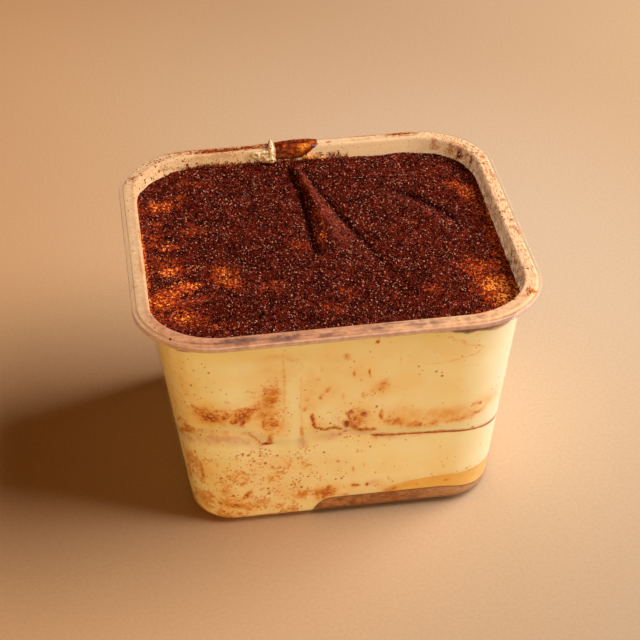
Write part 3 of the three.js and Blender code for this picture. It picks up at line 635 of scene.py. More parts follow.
# Dark lumps of wet cocoa on the wall, in the same terms.
COCOA_SPOTS = [
    (-0.3, 35.5, 0.95, 1.25, 0, 1.0), (0.8, 39.8, 0.7, 0.8, 0, 0.8), (4.3, 38.5, 1.0, 0.9, 0, 0.8),
    (1.9, 37.3, 0.6, 0.7, 0, 0.7), (1.9, 34.3, 1.1, 0.9, -30, 0.7), (7.1, 32.6, 0.7, 0.6, 0, 0.75),
    (5.1, 32.8, 0.5, 0.5, 0, 0.65), (-0.8, 32.6, 0.6, 0.4, 0, 0.6), (-2.1, 31.8, 0.5, 0.8, 0, 0.55),
    (-0.8, 30.3, 0.35, 0.3, 0, 0.7), (0.8, 30.5, 0.4, 0.35, 0, 0.6), (3.3, 30.4, 0.3, 0.6, 0, 0.5),
    (-22, 31, 1.7, 0.6, 4, 1.0), (-21.3, 32.2, 0.7, 1.0, 0, 0.6), (-26.9, 44.2, 0.9, 0.9, 0, 0.7),
    (-29.2, 41, 0.9, 1.2, 0, 0.75), (-6, 8.9, 1.3, 1.0, 0, 0.55), (2.6, 11.3, 0.9, 0.5, 0, 0.6),
    (-31, 8, 1.2, 0.5, 0, 0.35), (9, 36.9, 0.4, 0.5, 0, 0.6), (0.8, 43, 0.35, 0.4, 0, 0.6),
    (-2.5, 34, 0.5, 0.5, 0, 0.5), (3.2, 35.4, 0.5, 1.4, 0, 0.45), (-9.7, 39.7, 0.4, 0.6, 0, 0.65),
    (-30.6, 27.2, 0.4, 0.4, 0, 0.7), (-29, 27.3, 0.35, 0.35, 0, 0.7), (-27, 27.4, 0.4, 0.35, 0, 0.7),
    (-26.2, 25.7, 0.35, 0.35, 0, 0.6), (-27, 25, 0.3, 0.3, 0, 0.6), (-26.9, 23.4, 0.4, 0.35, 0, 0.7),
    (-22, 26.5, 0.5, 0.3, 0, 0.45), (-32.5, 18.4, 0.4, 0.6, 0, 0.6), (-31.4, 17.4, 0.5, 0.35, 0, 0.5),
    (-40.6, 24.3, 0.35, 0.35, 0, 0.6), (-13.8, 24.1, 0.5, 0.4, 0, 0.5), (-11.5, 26.6, 0.35, 0.5, 0, 0.5),
    (16.2, 27, 0.3, 0.3, 0, 0.6), (34.4, 37, 0.35, 0.35, 0, 0.45), (37.1, 37.5, 0.4, 0.35, 0, 0.5),
    (35.3, 11.4, 0.3, 0.3, 0, 0.5), (24.2, 12.4, 0.3, 0.3, 0, 0.5), (-35.6, 34.7, 0.3, 0.35, 0, 0.5),
    (1.6, 57.8, 0.3, 0.3, 0, 0.6), (-43, 62, 0.3, 0.25, 0, 0.6), (5.5, 11.0, 0.35, 0.3, 0, 0.5),
]

# Mauve tint where coffee has seeped into the cream.
MAUVE_TINTS = [
    (-46, 31.5, 5, 2.2, 25, 0.95), (-38, 33.6, 6, 2.2, 10, 1.0), (-30.5, 33.4, 5, 2.0, -12, 0.95),
    (-24.5, 31.4, 2.2, 2.0, -30, 0.6), (-12.4, 30, 1.3, 2.0, 20, 0.85), (-4, 31.8, 5, 1.6, 12, 0.75),
    (3.5, 32, 4, 1.2, -12, 0.6), (11, 28.8, 4, 1.0, -8, 0.6), (7.5, 11.5, 2.6, 1.2, 0, 0.55),
    (20, 28.6, 6, 0.7, 0, 0.35), (-8.8, 36, 1.0, 3.0, 0, 0.3),
]

# Soft amber clouds where coffee has soaked into the cream next to the wall, in the same terms.
AMBER_CLOUDS = [
    (-38, 41, 9, 3.2, 0, 0.9), (-29, 42, 5, 4, 20, 0.8), (-49, 37, 6, 4.5, 30, 0.7), (-46, 50, 6, 12, 0, 0.4),
    (-22, 44, 4.5, 8, -12, 0.9), (-21, 37.5, 5, 5, 0, 0.7), (-20, 56, 6, 5, 0, 0.4),
    (-18, 62, 8, 2.5, 0, 0.35), (-10.2, 46, 2.6, 9, 0, 0.5), (-8, 36, 3.5, 3.5, 0, 0.4),
    (-5, 48, 4, 3, 35, 0.45), (-4, 57, 4, 5, 0, 0.3), (2.5, 36.5, 6, 5.5, 0, 0.55),
    (8.5, 47, 4.5, 3.5, 45, 0.5), (3, 54, 5, 3, 0, 0.25), (14, 36, 6, 3.5, 0, 0.6),
    (24, 35, 14, 3.4, 0, 0.9), (38, 36.6, 8, 3, 0, 0.6), (30, 58, 13, 5.5, 0, 0.15), (22, 47, 9, 6, 0, 0.12),
    (-52, 44, 8, 10, 0, 0.7), (-39, 44.5, 10, 3, 0, 0.6), (-52, 58, 8, 8, 0, 0.5),
    (-30, 8, 9, 5, -10, 0.75), (-42, 8, 6, 6, 0, 0.55), (-40, 19, 3.5, 7, 8, 0.6), (-30, 18, 12, 6, 0, 0.35),
    (-6, 9.5, 7, 3.2, 0, 0.8), (-16, 12, 9, 4.5, 0, 0.4), (-21, 22, 7, 4, 0, 0.3), (12, 9.5, 9, 2.2, 0, 0.5),
    (-48, 20, 4, 12, 0, 0.35), (-5, 22, 5, 6, 0, 0.2), (28, 11, 9, 2, 0, 0.3), (-35, 3, 12, 2.5, 0, 0.6),
]

# Clean pale cream between them, in the same terms.
PALE_CLOUDS = [
    (-32, 50, 8, 4.6, -18, 0.9), (-31, 59, 9, 3.5, 0, 0.5), (-15.2, 45, 1.9, 10, 0, 0.8),
    (-14.6, 33, 1.5, 6, 0, 0.9), (-4.5, 39.5, 4, 3.6, 0, 0.8), (-10, 26, 9, 3, 0, 0.5),
    (-34, 29, 11, 3, 0, 0.55), (5, 62, 12, 3, 0, 0.4), (10, 53, 3.5, 4, 0, 0.4),
    (20, 24, 14, 5, 0, 0.35), (-24, 10, 3.5, 3, 0, 0.5), (-10, 15, 6, 3, 0, 0.45),
    (-11, 62, 4, 4, 0, 0.4), (7, 42, 4, 2.5, 0, 0.3), (30, 29.5, 14, 1.6, 0, 0.35), (6, 25, 8, 4, 0, 0.3),
]

# Lines on the wall: coffee that ran down or pooled along an edge. Points, half width, strength.
COFFEE_LINES = [
    ([(-17.3, 63), (-17.2, 56), (-17.1, 46), (-17.6, 38), (-19.4, 34)], 0.5, 0.32),
    ([(-12.6, 54), (-12.9, 42), (-12.2, 34), (-12, 28.5)], 0.35, 0.3),
    ([(-22.9, 62), (-18, 63), (-13.6, 60.6), (-12, 58)], 0.5, 0.25),
    ([(-9.8, 40), (-9.1, 37), (-8.7, 35.1), (-6.4, 34), (-3.8, 34.5), (-2.2, 34)], 0.55, 0.85),
    ([(-0.2, 39.5), (0.8, 36.5), (1.5, 33.5), (4, 32.6), (7.5, 32.4)], 0.6, 0.75),
    (
        [(-53, 29.2), (-50, 30.4), (-47.5, 32.4), (-42.5, 35.3), (-38.4, 36.8), (-31, 36.4), (-27, 35.4)],
        1.0, 0.34,
    ),
    ([(-52, 31.4), (-50, 31.2), (-47.6, 33), (-45, 34)], 0.7, 0.9),
    ([(-50.5, 35), (-48, 37.2), (-45, 37.4)], 0.6, 0.6),
    ([(-48, 2.4), (-44, 1.9), (-40, 1.6), (-34, 1.5)], 0.7, 0.95),
    ([(-43.5, 45), (-41, 44.2), (-36, 44.6), (-31, 44.4), (-27.5, 45)], 0.35, 0.6),
    ([(-29, 38.6), (-27.6, 41), (-25.5, 44)], 0.7, 0.75),
    ([(-44, 4.2), (-38, 2.6), (-30, 2.4), (-22, 2.8)], 0.5, 0.8),
    ([(-12, 11), (-9, 10.6), (-7, 9.4), (-3.6, 10.6)], 0.4, 0.6),
    ([(-27, 35.6), (-25.4, 33.6), (-24, 31.8)], 0.35, 0.6),
    ([(10.4, 34.8), (14.2, 33.6), (16.5, 32.8), (20.5, 32.2), (24.3, 32.2)], 1.5, 0.5),
    ([(23.3, 32.2), (28.3, 32.8), (32.4, 33), (34.6, 33.9), (38.3, 34.4)], 1.2, 0.4),
    (
        [(27.8, 62.1), (31.5, 60.5), (36.9, 58.3), (34.2, 56.6), (29.6, 55.2), (25, 54.5), (20.5, 54.8)],
        0.4, 0.3,
    ),
    ([(13.9, 58), (14.1, 55.6)], 0.3, 0.3),
    ([(-30.4, 38.6), (-27.6, 40.4), (-23.8, 42), (-23, 46)], 0.3, 0.4),
]

# A ring of dried coffee on the left: its place along, height and radius.
COFFEE_RING = (-21.1, 38.1, 2.05)

# Clouds of specks on the wall: place along, height, reach along, reach up and strength. The second
# list's clouds fill the wall below a height: place along, height, reach along, fade and strength.
SPECK_CLOUDS = [(-21, 46, 5, 8, 0.5), (3, 36, 8, 7, 0.35)]
SPECKS_BELOW = [(-1, 30, 12, 4, 0.12), (-36, 52, 14, 12, 0.12), (-46, 68, 9, 20, 0.16)]


def from_line(across, up, corners):
    """Distance from a broken line, as the least of the distances from its stretches. It is positive to
    the left of the way along the line and negative to the right."""
    nearest = np.full(np.broadcast(across, up).shape, np.inf)
    for (start_across, start_up), (end_across, end_up) in zip(corners[:-1], corners[1:]):
        run_across, run_up = end_across - start_across, end_up - start_up
        from_across, from_up = across - start_across, up - start_up
        share = (from_across * run_across + from_up * run_up) / (run_across**2 + run_up**2)
        share = np.clip(share, 0, 1)
        gap = np.hypot(from_across - share * run_across, from_up - share * run_up)
        left = run_across * from_up - run_up * from_across > 0
        nearest = np.where(gap < abs(nearest), np.where(left, gap, -gap), nearest)
    return nearest


def other_marks(seed, count, sizes, strengths):
    """Like marks for the sides and the back, drawn at random: most lie low or near the seam."""
    draw = np.random.default_rng(seed)
    low = draw.random(count) < 0.55
    near_seam = 32 + draw.normal(0, 6, count)
    height = np.where(low, 4 + 22 * draw.random(count) ** 1.4, near_seam)
    half_length = draw.uniform(*sizes, count)
    rows = [draw.uniform(60, 285, count), height, half_length, half_length * draw.uniform(0.35, 0.9, count)]
    return np.stack([*rows, draw.uniform(-50, 50, count), draw.uniform(*strengths, count)], -1)


# The lists give heights on the outside of the plastic, looked at on a slant: on the food behind it the
# marks lie this much lower. The seam's own line lies this much under the seam's underside.
SLANT_DROP = 0.85
SEAM_LINE_DROP = 0.75


def speck_density(along, height):
    """How thickly specks lie on the wall: most low down on the left of the front, in the clouds, and a
    few at the sides and the back."""
    low_left = smooth((-along - 2) / 12) * smooth((along + 60) / 8) * smooth((31 - height) / 4)
    density = 0.04 + 0.42 * low_left * (0.4 + 0.6 * smooth((26 - height) / 20))
    density = density + 0.3 * low_left * (cloud(along + 90, height, 4.5, 26) - 0.5)
    density = density + 0.08 * smooth((along - 60) / 20)
    for at, up, reach_along, reach_up, strength in SPECK_CLOUDS:
        density = density + strength * bell(along - at, reach_along) * bell(height - up, reach_up)
    for at, below, reach_along, fade, strength in SPECKS_BELOW:
        density = density + strength * bell(along - at, reach_along) * smooth((below - height) / fade)
    return density


def wall_marks(along, height, seam):
    """Amounts of coffee, cocoa, mauve, amber, pale cream and specks on the wall. The seam's own line
    starts in the middle of the front and runs on round the right side; elsewhere it is a broken,
    browner band. Round the front right corner and along the right side the cream is painted palest, as
    a painted highlight."""
    wander = 0.5 * (cloud(along, height, 1.6, 21) - 0.5), 0.5 * (cloud(along, height, 1.6, 22) - 0.5)
    u, z = along - 0.3 + wander[0], height + SLANT_DROP + wander[1]
    coffee = blots(u, z, COFFEE_SMEARS + list(other_marks(31, 46, (0.5, 3.6), (0.3, 0.8))))
    for corners, half_width, strength in COFFEE_LINES:
        coffee = np.maximum(coffee, strength * bell(from_line(u, z, corners), half_width))
    ring_along, ring_height, ring_radius = COFFEE_RING
    ring_gap = np.hypot(u - ring_along, z - ring_height) - ring_radius
    coffee = np.maximum(coffee, 0.8 * bell(ring_gap, 0.25))
    cocoa = blots(u, z, COCOA_SPOTS + list(other_marks(32, 60, (0.25, 0.9), (0.4, 0.9))))
    mauve = blots(u, z, MAUVE_TINTS + list(other_marks(33, 12, (2, 5), (0.3, 0.6))))
    amber = blots(u, z, AMBER_CLOUDS + list(other_marks(34, 34, (3, 9), (0.3, 0.8))))
    pale = blots(u, z, PALE_CLOUDS + list(other_marks(35, 16, (4, 9), (0.4, 0.8))))
    # Painted highlight: the cream is painted pale round the front right corner and along the right side.
    pale = np.maximum(pale, 0.95 * smooth((along - 26) / 20) * (1 - 0.6 * smooth((along - 75) / 40)))
    above = height - seam + SEAM_LINE_DROP
    line = smooth((along - 5.5) / 2.5) * (0.62 + 0.38 * cloud(along, 0 * along, 6, 23))
    round_back = smooth((along - 60) / 20)
    line = line * (1 - round_back * 0.5 * cloud(along, 0 * along, 9, 24))
    thickness = 0.28 + 0.16 * bell(along - 11, 5) + 0.12 * bell(along - 42, 5) + 0.25 * round_back
    cocoa = np.maximum(cocoa, 1.15 * line * bell(above, thickness))
    coffee = np.maximum(coffee, 0.6 * line * bell(above - 0.1, thickness * 2.4))
    mauve = np.maximum(mauve, 0.7 * line * bell(above + 0.9, 0.8) * smooth((22 - along) / 10))
    coffee = np.maximum(coffee, 0.45 * round_back * bell(above - 2.4, 2.0) * cloud(along, height, 5, 25))
    return {
        "coffee": coffee, "cocoa": cocoa, "mauve": mauve, "amber": amber, "pale": pale,
        "speckle": speck_density(along, height),
    }


def marks_of_rings(rings, station):
    """Wall marks for a layer's rings, and clean cream on its two caps."""
    points = rings.reshape(-1, 3)
    along = np.broadcast_to(station, rings.shape[:2]).ravel()
    distance = unrolled(along, points[:, 0], points[:, 1], points[:, 2])
    marks = wall_marks(distance, points[:, 2], seam_bottom(points[:, 0], points[:, 1]))
    row = np.arange(len(points)) // len(station)
    on_wall = (row >= CAP_RINGS) & (row < len(rings) - CAP_RINGS)
    return {name: np.append(amount * on_wall, [0, 0]) for name, amount in marks.items()}


# How far light spreads in cream, in millimetres, and how much less its green and blue spread.
CREAM_DEPTH = 2.2
CREAM_SPREAD = (1.0, 0.62, 0.28)


def wet_layer(name, light, deep, translucent, roughness):
    """A wet, slightly translucent food: two colours clouded together, pale where it is clean and where a
    highlight is painted, then amber and mauve seepage, a soft halo of coffee with brown grit in it, and
    dark cocoa, each broken up by noise, and loose freckles and specks."""
    finish, tree, shader, _ = new_finish(name)
    colour = blended(tree, between(tree, grain(tree, 9, 3), 0.3, 0.7), light, deep)
    broad = between(tree, grain(tree, 2.2, 3), 0.3, 0.7, 0.6, 1.35)
    halo = product(tree, mark_of(tree, "coffee"), broad, clamp=True)
    fine = between(tree, grain(tree, 0.8, 4, 0.6), 0.34, 0.66, 0.3, 1.5)
    grit = product(tree, halo, fine, clamp=True)
    cocoa = clouded_mark(tree, "cocoa", grain(tree, 0.7, 3, 0.6), 0.3, 0.7, 0.6, 1.3, clamp=True)
    mauve = product(tree, mark_of(tree, "mauve"), broad, clamp=True)
    amber = clouded_mark(tree, "amber", grain(tree, 3.4, 5, 0.62), 0.32, 0.66, 0.35, 1.35, clamp=True)
    # Clean cream, and the painted highlight, both painted pale.
    pale = product(tree, mark_of(tree, "pale"), 0.8, clamp=True)
    colour = blended(tree, pale, colour, srgb(255, 248, 226))
    colour = blended(tree, product(tree, amber, 0.8), colour, srgb(238, 176, 80))
    colour = blended(tree, product(tree, mauve, 0.75), colour, srgb(214, 156, 136))
    colour = blended(tree, between(tree, halo, 0.04, 0.7, 0, 0.9), colour, srgb(232, 160, 62))
    colour = blended(tree, between(tree, grit, 0.25, 0.85, 0, 0.9), colour, srgb(200, 112, 30))
    colour = blended(tree, between(tree, grit, 0.8, 1.0, 0, 0.8), colour, srgb(140, 58, 12))
    colour = blended(tree, between(tree, cocoa, 0.05, 0.5, 0, 0.9), colour, srgb(204, 112, 32))
    colour = blended(tree, between(tree, cocoa, 0.4, 0.95), colour, srgb(118, 38, 6))
    sprinkled = clouded_mark(tree, "speckle", grain(tree, 5, 3), 0.36, 0.62, 0.35, 1.5)
    freckled = maths(tree, "MULTIPLY_ADD", sprinkled, 0.34, grain(tree, 1.3, 5, 0.74))
    colour = blended(tree, between(tree, freckled, 0.65, 0.8, 0, 0.8), colour, srgb(222, 146, 52))
    fine_speck = product(tree, specks(tree, 0.75, sprinkled), 0.8)
    colour = blended(tree, fine_speck, colour, srgb(204, 112, 24))
    coarse_speck = specks(tree, 1.6, product(tree, sprinkled, 1.3), 0.24)
    colour = blended(tree, product(tree, coarse_speck, 0.85), colour, srgb(182, 88, 14))
    join(tree, shader, {
        "Base Color": colour, "Roughness": roughness, "Specular IOR Level": 0.25,
        "Subsurface Weight": translucent, "Subsurface Radius": CREAM_SPREAD,
        "Subsurface Scale": CREAM_DEPTH * MM,
    })
    return finish


wall_station = fine_stations(0.34, 0.95)
cream_finish = wet_layer("mascarpone_cream", srgb(255, 238, 204), srgb(253, 228, 182), 0.35, 0.4)


def wall_layer(name, bottom, top, inset, rows, finish, replaced, foot_bias=1.0):
    """A layer from wall to wall, marked, finished and put in its node's place."""
    rings = layer_rings(wall_station, bottom, top, inset, rows, foot_bias)
    marks = marks_of_rings(rings, wall_station)
    piece = make_piece(name, *ring_solid(rings), marks)
    piece.data.materials.append(finish)
    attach(piece, "root")
    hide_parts(replaced)


def floor_of_cream(x, y):
    """The lower cream lies on the floor at the left and on the biscuit and the stained cream."""
    return np.maximum(biscuit_top(x, y), stained_top(x, y)) - OVERLAP


wall_layer(
    "lower_cream_layer", floor_of_cream, seam_bottom, FLOOR_INSET, 92, cream_finish,
    "lower_cream", 1.3,
)

# ---- The soaked biscuit --------------------------------------------------------------------------
# A sponge biscuit soaked in coffee and pressed on the floor at the right, from front to back. Its
# left end is rounded. It is grey-brown and darker along its top edge, and a painted contact shadow
# darkens it along its bottom.


def slab_rings(left, bottom, top, inset, rows, foot_bias=1.0):
    """Rings of a slab that runs from front to back and ends at the left: the wall's outline, with its
    part left of the end laid flat against the end."""
    rings = layer_rings(wall_station, bottom, top, inset, rows, foot_bias)
    rings[..., 0] = np.maximum(rings[..., 0], left)
    return rings


def bumped(tree, height, strength, distance):
    """The direction of a surface with fine relief: a height from 0 to 1 over a distance in millimetres."""
    relief = {"Height": height, "Strength": strength, "Distance": distance * MM}
    return node(tree, "ShaderNodeBump", relief).outputs[0]


def soaked_sponge():
    """Wet sponge: grey-brown with lighter crumb, darker along its top edge and with painted contact shadow
    along its bottom, with fine pores.
    """
    finish, tree, shader, _ = new_finish("soaked_sponge")
    crumb = between(tree, grain(tree, 1.6, 5, 0.65, (0.8, 1, 1.2)), 0.34, 0.66)
    colour = blended(tree, crumb, srgb(134, 74, 32), srgb(192, 130, 80))
    colour = blended(tree, product(tree, mark_of(tree, "dry"), 0.7), colour, srgb(204, 160, 128))
    colour = blended(tree, product(tree, mark_of(tree, "wet"), 0.7), colour, srgb(98, 64, 46))
    coffee = clouded_mark(tree, "coffee", grain(tree, 0.8, 3), 0.3, 0.7, 0.5, 1.3)
    colour = blended(tree, between(tree, coffee, 0.1, 0.8), colour, srgb(176, 68, 12))
    pores = product(tree, specks(tree, 1.1, 0.25), 0.5)
    join(tree, shader, {
        "Base Color": blended(tree, pores, colour, srgb(100, 54, 24)),
        "Roughness": 0.42,
        "Specular IOR Level": 0.3,
        "Normal": bumped(tree, crumb, 0.3, 0.4),
    })
    return finish


biscuit_rings = slab_rings(BISCUIT_LEFT_END, floor_level, biscuit_top, FLOOR_INSET - 0.04, 22, 1.3)
biscuit_marks = marks_of_rings(biscuit_rings, wall_station)
biscuit_points, biscuit_quads, biscuit_triangles = ring_solid(biscuit_rings)
biscuit_x, biscuit_y, biscuit_z = biscuit_points.T
biscuit_edge = biscuit_top(biscuit_x, biscuit_y)
# Darker along the top edge, and painted contact shadow along the bottom.
biscuit_marks["wet"] = np.maximum(bell(biscuit_z - biscuit_edge, 0.45), 0.8 * bell(biscuit_z - 1.6, 1.0))
biscuit_marks["dry"] = smooth((biscuit_x - 12) / 30)
soaked_biscuit = make_piece(
    "soaked_biscuit_slab", biscuit_points, biscuit_quads, biscuit_triangles, biscuit_marks
)
soaked_biscuit.data.materials.append(soaked_sponge())
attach(soaked_biscuit, "root")
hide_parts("soaked_biscuit")

# ---- The stained cream ---------------------------------------------------------------------------
# Cream that has drunk the coffee pressed out of the biscuit. It lies on the biscuit as a wedge, thin
# and speckled at its left end and a clear amber at the right.

stained_rings = slab_rings(STAINED_LEFT_END, biscuit_top, stained_top, FLOOR_INSET - 0.02, 20)
stained_points, stained_quads, stained_triangles = ring_solid(stained_rings)
stained_marks = marks_of_rings(stained_rings, wall_station)
stained_marks["pale"] = 0.2 * stained_marks["pale"]
stained_cream = make_piece(
    "stained_cream_wedge", stained_points, stained_quads, stained_triangles, stained_marks
)
stained_cream.data.materials.append(
    wet_layer("coffee_stained_cream", srgb(246, 200, 110), srgb(236, 180, 88), 0.3, 0.35)
)
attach(stained_cream, "root")
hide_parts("stained_cream")

# ---- The seam ------------------------------------------------------------------------------------
# A dusting of cocoa and a little coffee between the two layers of cream. Against the wall it is a
# thin dark line on the right, and a blurred mauve and brown edge on the left.

wall_layer(
    "coffee_seam_line", lambda x, y: seam_bottom(x, y) - OVERLAP, lambda x, y: seam_top(x, y) + OVERLAP,
    FLOOR_INSET - 0.02, 11, cream_finish, "coffee_seam",
)

# ---- The upper cream and the dusted top ----------------------------------------------------------
# A second thick layer of cream, smoothed off just under the rim, and over it a crust of sieved cocoa.
# The crust has two folds, from the back wall and on the right, and is thin and damp in patches.

COCOA_THICKNESS = 1.4
COCOA_AT_WALL = {"back_left": 66.1, "back_right": 65.0, "front_left": 66.6, "front_right": 63.2}
COCOA_INSIDE = 64.8
COCOA_STEP_UP = 0.8
FOLD_BACK_Y = 47
FOLD_FRONT_Y = -17
FOLD_HEIGHT = 2.0
FOLD_GROOVE_X = -2.8
FOLD_NARROWEST_FACE = 2.6
FOLD_GROOVE_DEPTH = 0.7
FOLD_GROOVE_REACH = 1.1
FOLD_FALL_SHARE = 0.8
ARC_FOLD = {"x": 6, "y": -4, "crest_radius": 28, "crease_radius": 34}
ARC_FOLD_HEIGHT = 1.1
ARC_FOLD_REACH = 3.8
ARC_CREASE_DEPTH = 0.4
ARC_CREASE_REACH = 1.1
ARC_SHOULDER = 0.5
ARC_SHOULDER_RISE = 1.4
ARC_SHOULDER_REACH = 7
COCOA_SWELLS = [
    (-35, 16, -0.5, 5), (-23, -1, -0.5, 6), (-14, -28, 0.4, 9), (22, -25, 0.5, 12), (-30, 34, 0.3, 8),
]
CRUST_INSET = 0.7
CRUST_EDGE_THINNED = 0.8
CREAM_LOWER_INSIDE = 2.4
HEM_DEPTH = 0.62
UNDERSIDE_DEPTH = 3.4


def fold_along(y):
    """The share of the way along the main fold, from its back end to its front end."""
    return (FOLD_BACK_Y - y) / (FOLD_BACK_Y - FOLD_FRONT_Y)


def fold_crest_x(y):
    """The main fold's crest: x as a square of the way along it."""
    along = fold_along(y)
    return -3.3 + 13 * along - 5 * along * along


def fold_foot_x(y):
    """The foot of the fold's right slope, where the crust steps up again: a square as well."""
    along = fold_along(y)
    return -1.3 + 14 * along + 4.5 * along * along


def fold_height(x, y):
    """The main fold: a smooth rise from the groove to the crest, and to the right of it half a bell
    that has fallen by most of its height at the foot."""
    along = fold_along(y)
    strength = smooth(along / 0.14) * smooth((1 - along) / 0.45)
    groove_strength = smooth(along / 0.1) * smooth((0.84 - along) / 0.1)
    crest = fold_crest_x(y)
    face = np.maximum(crest - FOLD_GROOVE_X, FOLD_NARROWEST_FACE)
    groove = FOLD_GROOVE_DEPTH * bell(x - crest + face, FOLD_GROOVE_REACH)
    fall = bell(x - crest, FOLD_FALL_SHARE * (fold_foot_x(y) - crest))
    rise = np.where(x < crest, smooth((x - crest + face) / face), fall)
    return strength * FOLD_HEIGHT * rise - groove_strength * groove


def arc_strength(x, y):
    """1 along the middle of the softer fold's arc, fading at its two ends."""
    angle = np.arctan2(y - ARC_FOLD["y"], x - ARC_FOLD["x"])
    return smooth((angle - 0.1) / 0.3) * smooth((1.4 - angle) / 0.4)


def arc_fold_height(x, y):
    """The softer fold: a bell across an arc for its crest, less a narrower one for the crease, with a
    low shoulder outside the crease."""
    radius = np.hypot(x - ARC_FOLD["x"], y - ARC_FOLD["y"])
    crest = ARC_FOLD_HEIGHT * bell(radius - ARC_FOLD["crest_radius"], ARC_FOLD_REACH)
    outside = radius - ARC_FOLD["crease_radius"]
    crease = ARC_CREASE_DEPTH * bell(outside, ARC_CREASE_REACH)
    past_rise = np.maximum(outside - ARC_SHOULDER_RISE, 0)
    shoulder = ARC_SHOULDER * smooth(outside / ARC_SHOULDER_RISE) * bell(past_rise, ARC_SHOULDER_REACH)
    return arc_strength(x, y) * (crest - crease + shoulder)


def near_wall(x, y, inset, power):
    """0 in the middle and 1 at the wall: a power of the share of the way out to it."""
    half_x, half_y, _ = wall_size(COCOA_INSIDE, inset)
    return np.maximum(abs(x) / half_x, abs(y) / half_y) ** power


def cocoa_height(x, y):
    """The dusted top: flat inside, a step up at the foot of the main fold, blended near the wall into a
    plane through four corner heights, with a ripple, the folds and the swells."""
    inset = WALL + 0.3
    half_x, half_y, _ = wall_size(COCOA_INSIDE, inset)
    right = (x / half_x + 1) / 2
    back = (y / half_y + 1) / 2
    at_front = COCOA_AT_WALL["front_left"] * (1 - right) + COCOA_AT_WALL["front_right"] * right
    at_back = COCOA_AT_WALL["back_left"] * (1 - right) + COCOA_AT_WALL["back_right"] * right
    step_up = smooth((x - fold_foot_x(y) + 0.2) / 1.6) * smooth(back / 0.5)
    inside = COCOA_INSIDE + COCOA_STEP_UP * step_up
    at_wall = at_front * (1 - back) + at_back * back
    base = inside + (at_wall - inside) * near_wall(x, y, inset, 7)
    ripple = 0.12 * np.sin(x * 0.55 + 1) * np.cos(y * 0.47) + 0.08 * np.sin(y * 0.9 - x * 0.3)
    return base + ripple + fold_height(x, y) + arc_fold_height(x, y) + swells(COCOA_SWELLS, x, y)


# Where the crust is pushed up against the front wall: places along X, and how far it is pushed up.
PUSHED_UP_AT = [-50, -30, -20, 0, 10, 20, 24, 28, 31.5, 35, 39, 50]
PUSHED_UP_BY = [0, 0.2, 0.6, 1.3, 1.3, 2.0, 2.1, 1.2, 0.3, 1.0, 0.5, 0.4]
PUSHED_UP_REACH = 2.5

# Creases in the crust, from the back to the front: the groove left of the main fold, the foot of its
# lit slope, the soft fold's foot and a faint one. Line, depth, and reach to its right and its left.
CREASES = [
    ([(-6.4, 46.2), (-4.4, 44.3), (-3.2, 37), (-2.6, 30), (-2.4, 18), (-2.6, 6), (-2.8, -5)], 0.35, 0.6, 0.8),
    (
        [(-0.9, 43.6), (1.6, 35), (3.6, 27), (5.4, 20.3), (7.4, 12), (9.8, 5), (11.4, 0), (13.6, -6)],
        0.34, 0.7, 1.5,
    ),
    (
        [(12, 34), (17, 31), (22.8, 27.5), (26, 25), (28.6, 21.4), (31, 17.2), (35, 11.6), (38.7, 6.9)],
        0.3, 0.9, 1.9,
    ),
    ([(23.1, -7.8), (23.1, -14.4), (22.6, -21), (22, -26)], 0.25, 1.1, 1.6),
    ([(-38, 24), (-37, 19), (-34, 15.6), (-31, 15)], 0.3, 0.8, 0.8),
    ([(-26.5, 1), (-23.5, -3), (-19, -6.8)], 0.3, 0.8, 0.8),
]
CREASE_FADE = 6
CREASE_ROUNDING = 0.35
UNDULATION = 0.55


def crease_depth(x, y):
    """How far the creases draw the crust down: each falls off as e to the minus distance over reach,
    faster on its steep side, with a rounded bottom, and fades towards its ends."""
    depth = np.zeros(np.broadcast(x, y).shape)
    for line, deepest, right_reach, left_reach in CREASES:
        gap = from_line(x, y, line)
        reach = np.where(gap > 0, left_reach, right_reach)
        to_start = np.hypot(x - line[0][0], y - line[0][1])
        to_end = np.hypot(x - line[-1][0], y - line[-1][1])
        fade = smooth(to_start / (CREASE_FADE / 2)) * smooth(to_end / CREASE_FADE)
        rounded_gap = np.maximum(np.hypot(gap, CREASE_ROUNDING) - CREASE_ROUNDING, 0)
        depth = np.maximum(depth, deepest * fade * np.exp(-rounded_gap / reach))
    return depth


def crust_height(x, y):
    """The dusted top with its creases and soft undulations, pushed up where it meets the front wall."""
    half_x, half_y, _ = wall_size(COCOA_INSIDE, WALL)
    near_front = smooth((PUSHED_UP_REACH - half_y - y) / PUSHED_UP_REACH)
    pushed_up = np.interp(x, PUSHED_UP_AT, PUSHED_UP_BY) * near_front
    soft = cloud(x + 80, y + 80, 6.5, 45) + 0.5 * cloud(x + 80, y + 80, 3, 46) - 0.75
    inside = smooth((half_x - abs(x)) / 6) * smooth((half_y - abs(y)) / 6)
    return cocoa_height(x, y) + pushed_up - crease_depth(x, y) + UNDULATION * soft * inside


def crust_underside(x, y):
    """The crust thins out towards the wall, where cream shows under it."""
    return crust_height(x, y) - COCOA_THICKNESS + CRUST_EDGE_THINNED * near_wall(x, y, WALL, 9)


def cream_under_crust(x, y):
    """The cream meets the crust at the wall and lies a little lower inside, under the folds' creases."""
    lower = CREAM_LOWER_INSIDE * np.clip(1 - near_wall(x, y, WALL, 9), 0, 1)
    return crust_underside(x, y) + OVERLAP - lower


wall_layer(
    "upper_cream_layer", seam_top, cream_under_crust, FLOOR_INSET, 98, cream_finish,
    "upper_cream",
)

CRUST_CELLS = 300


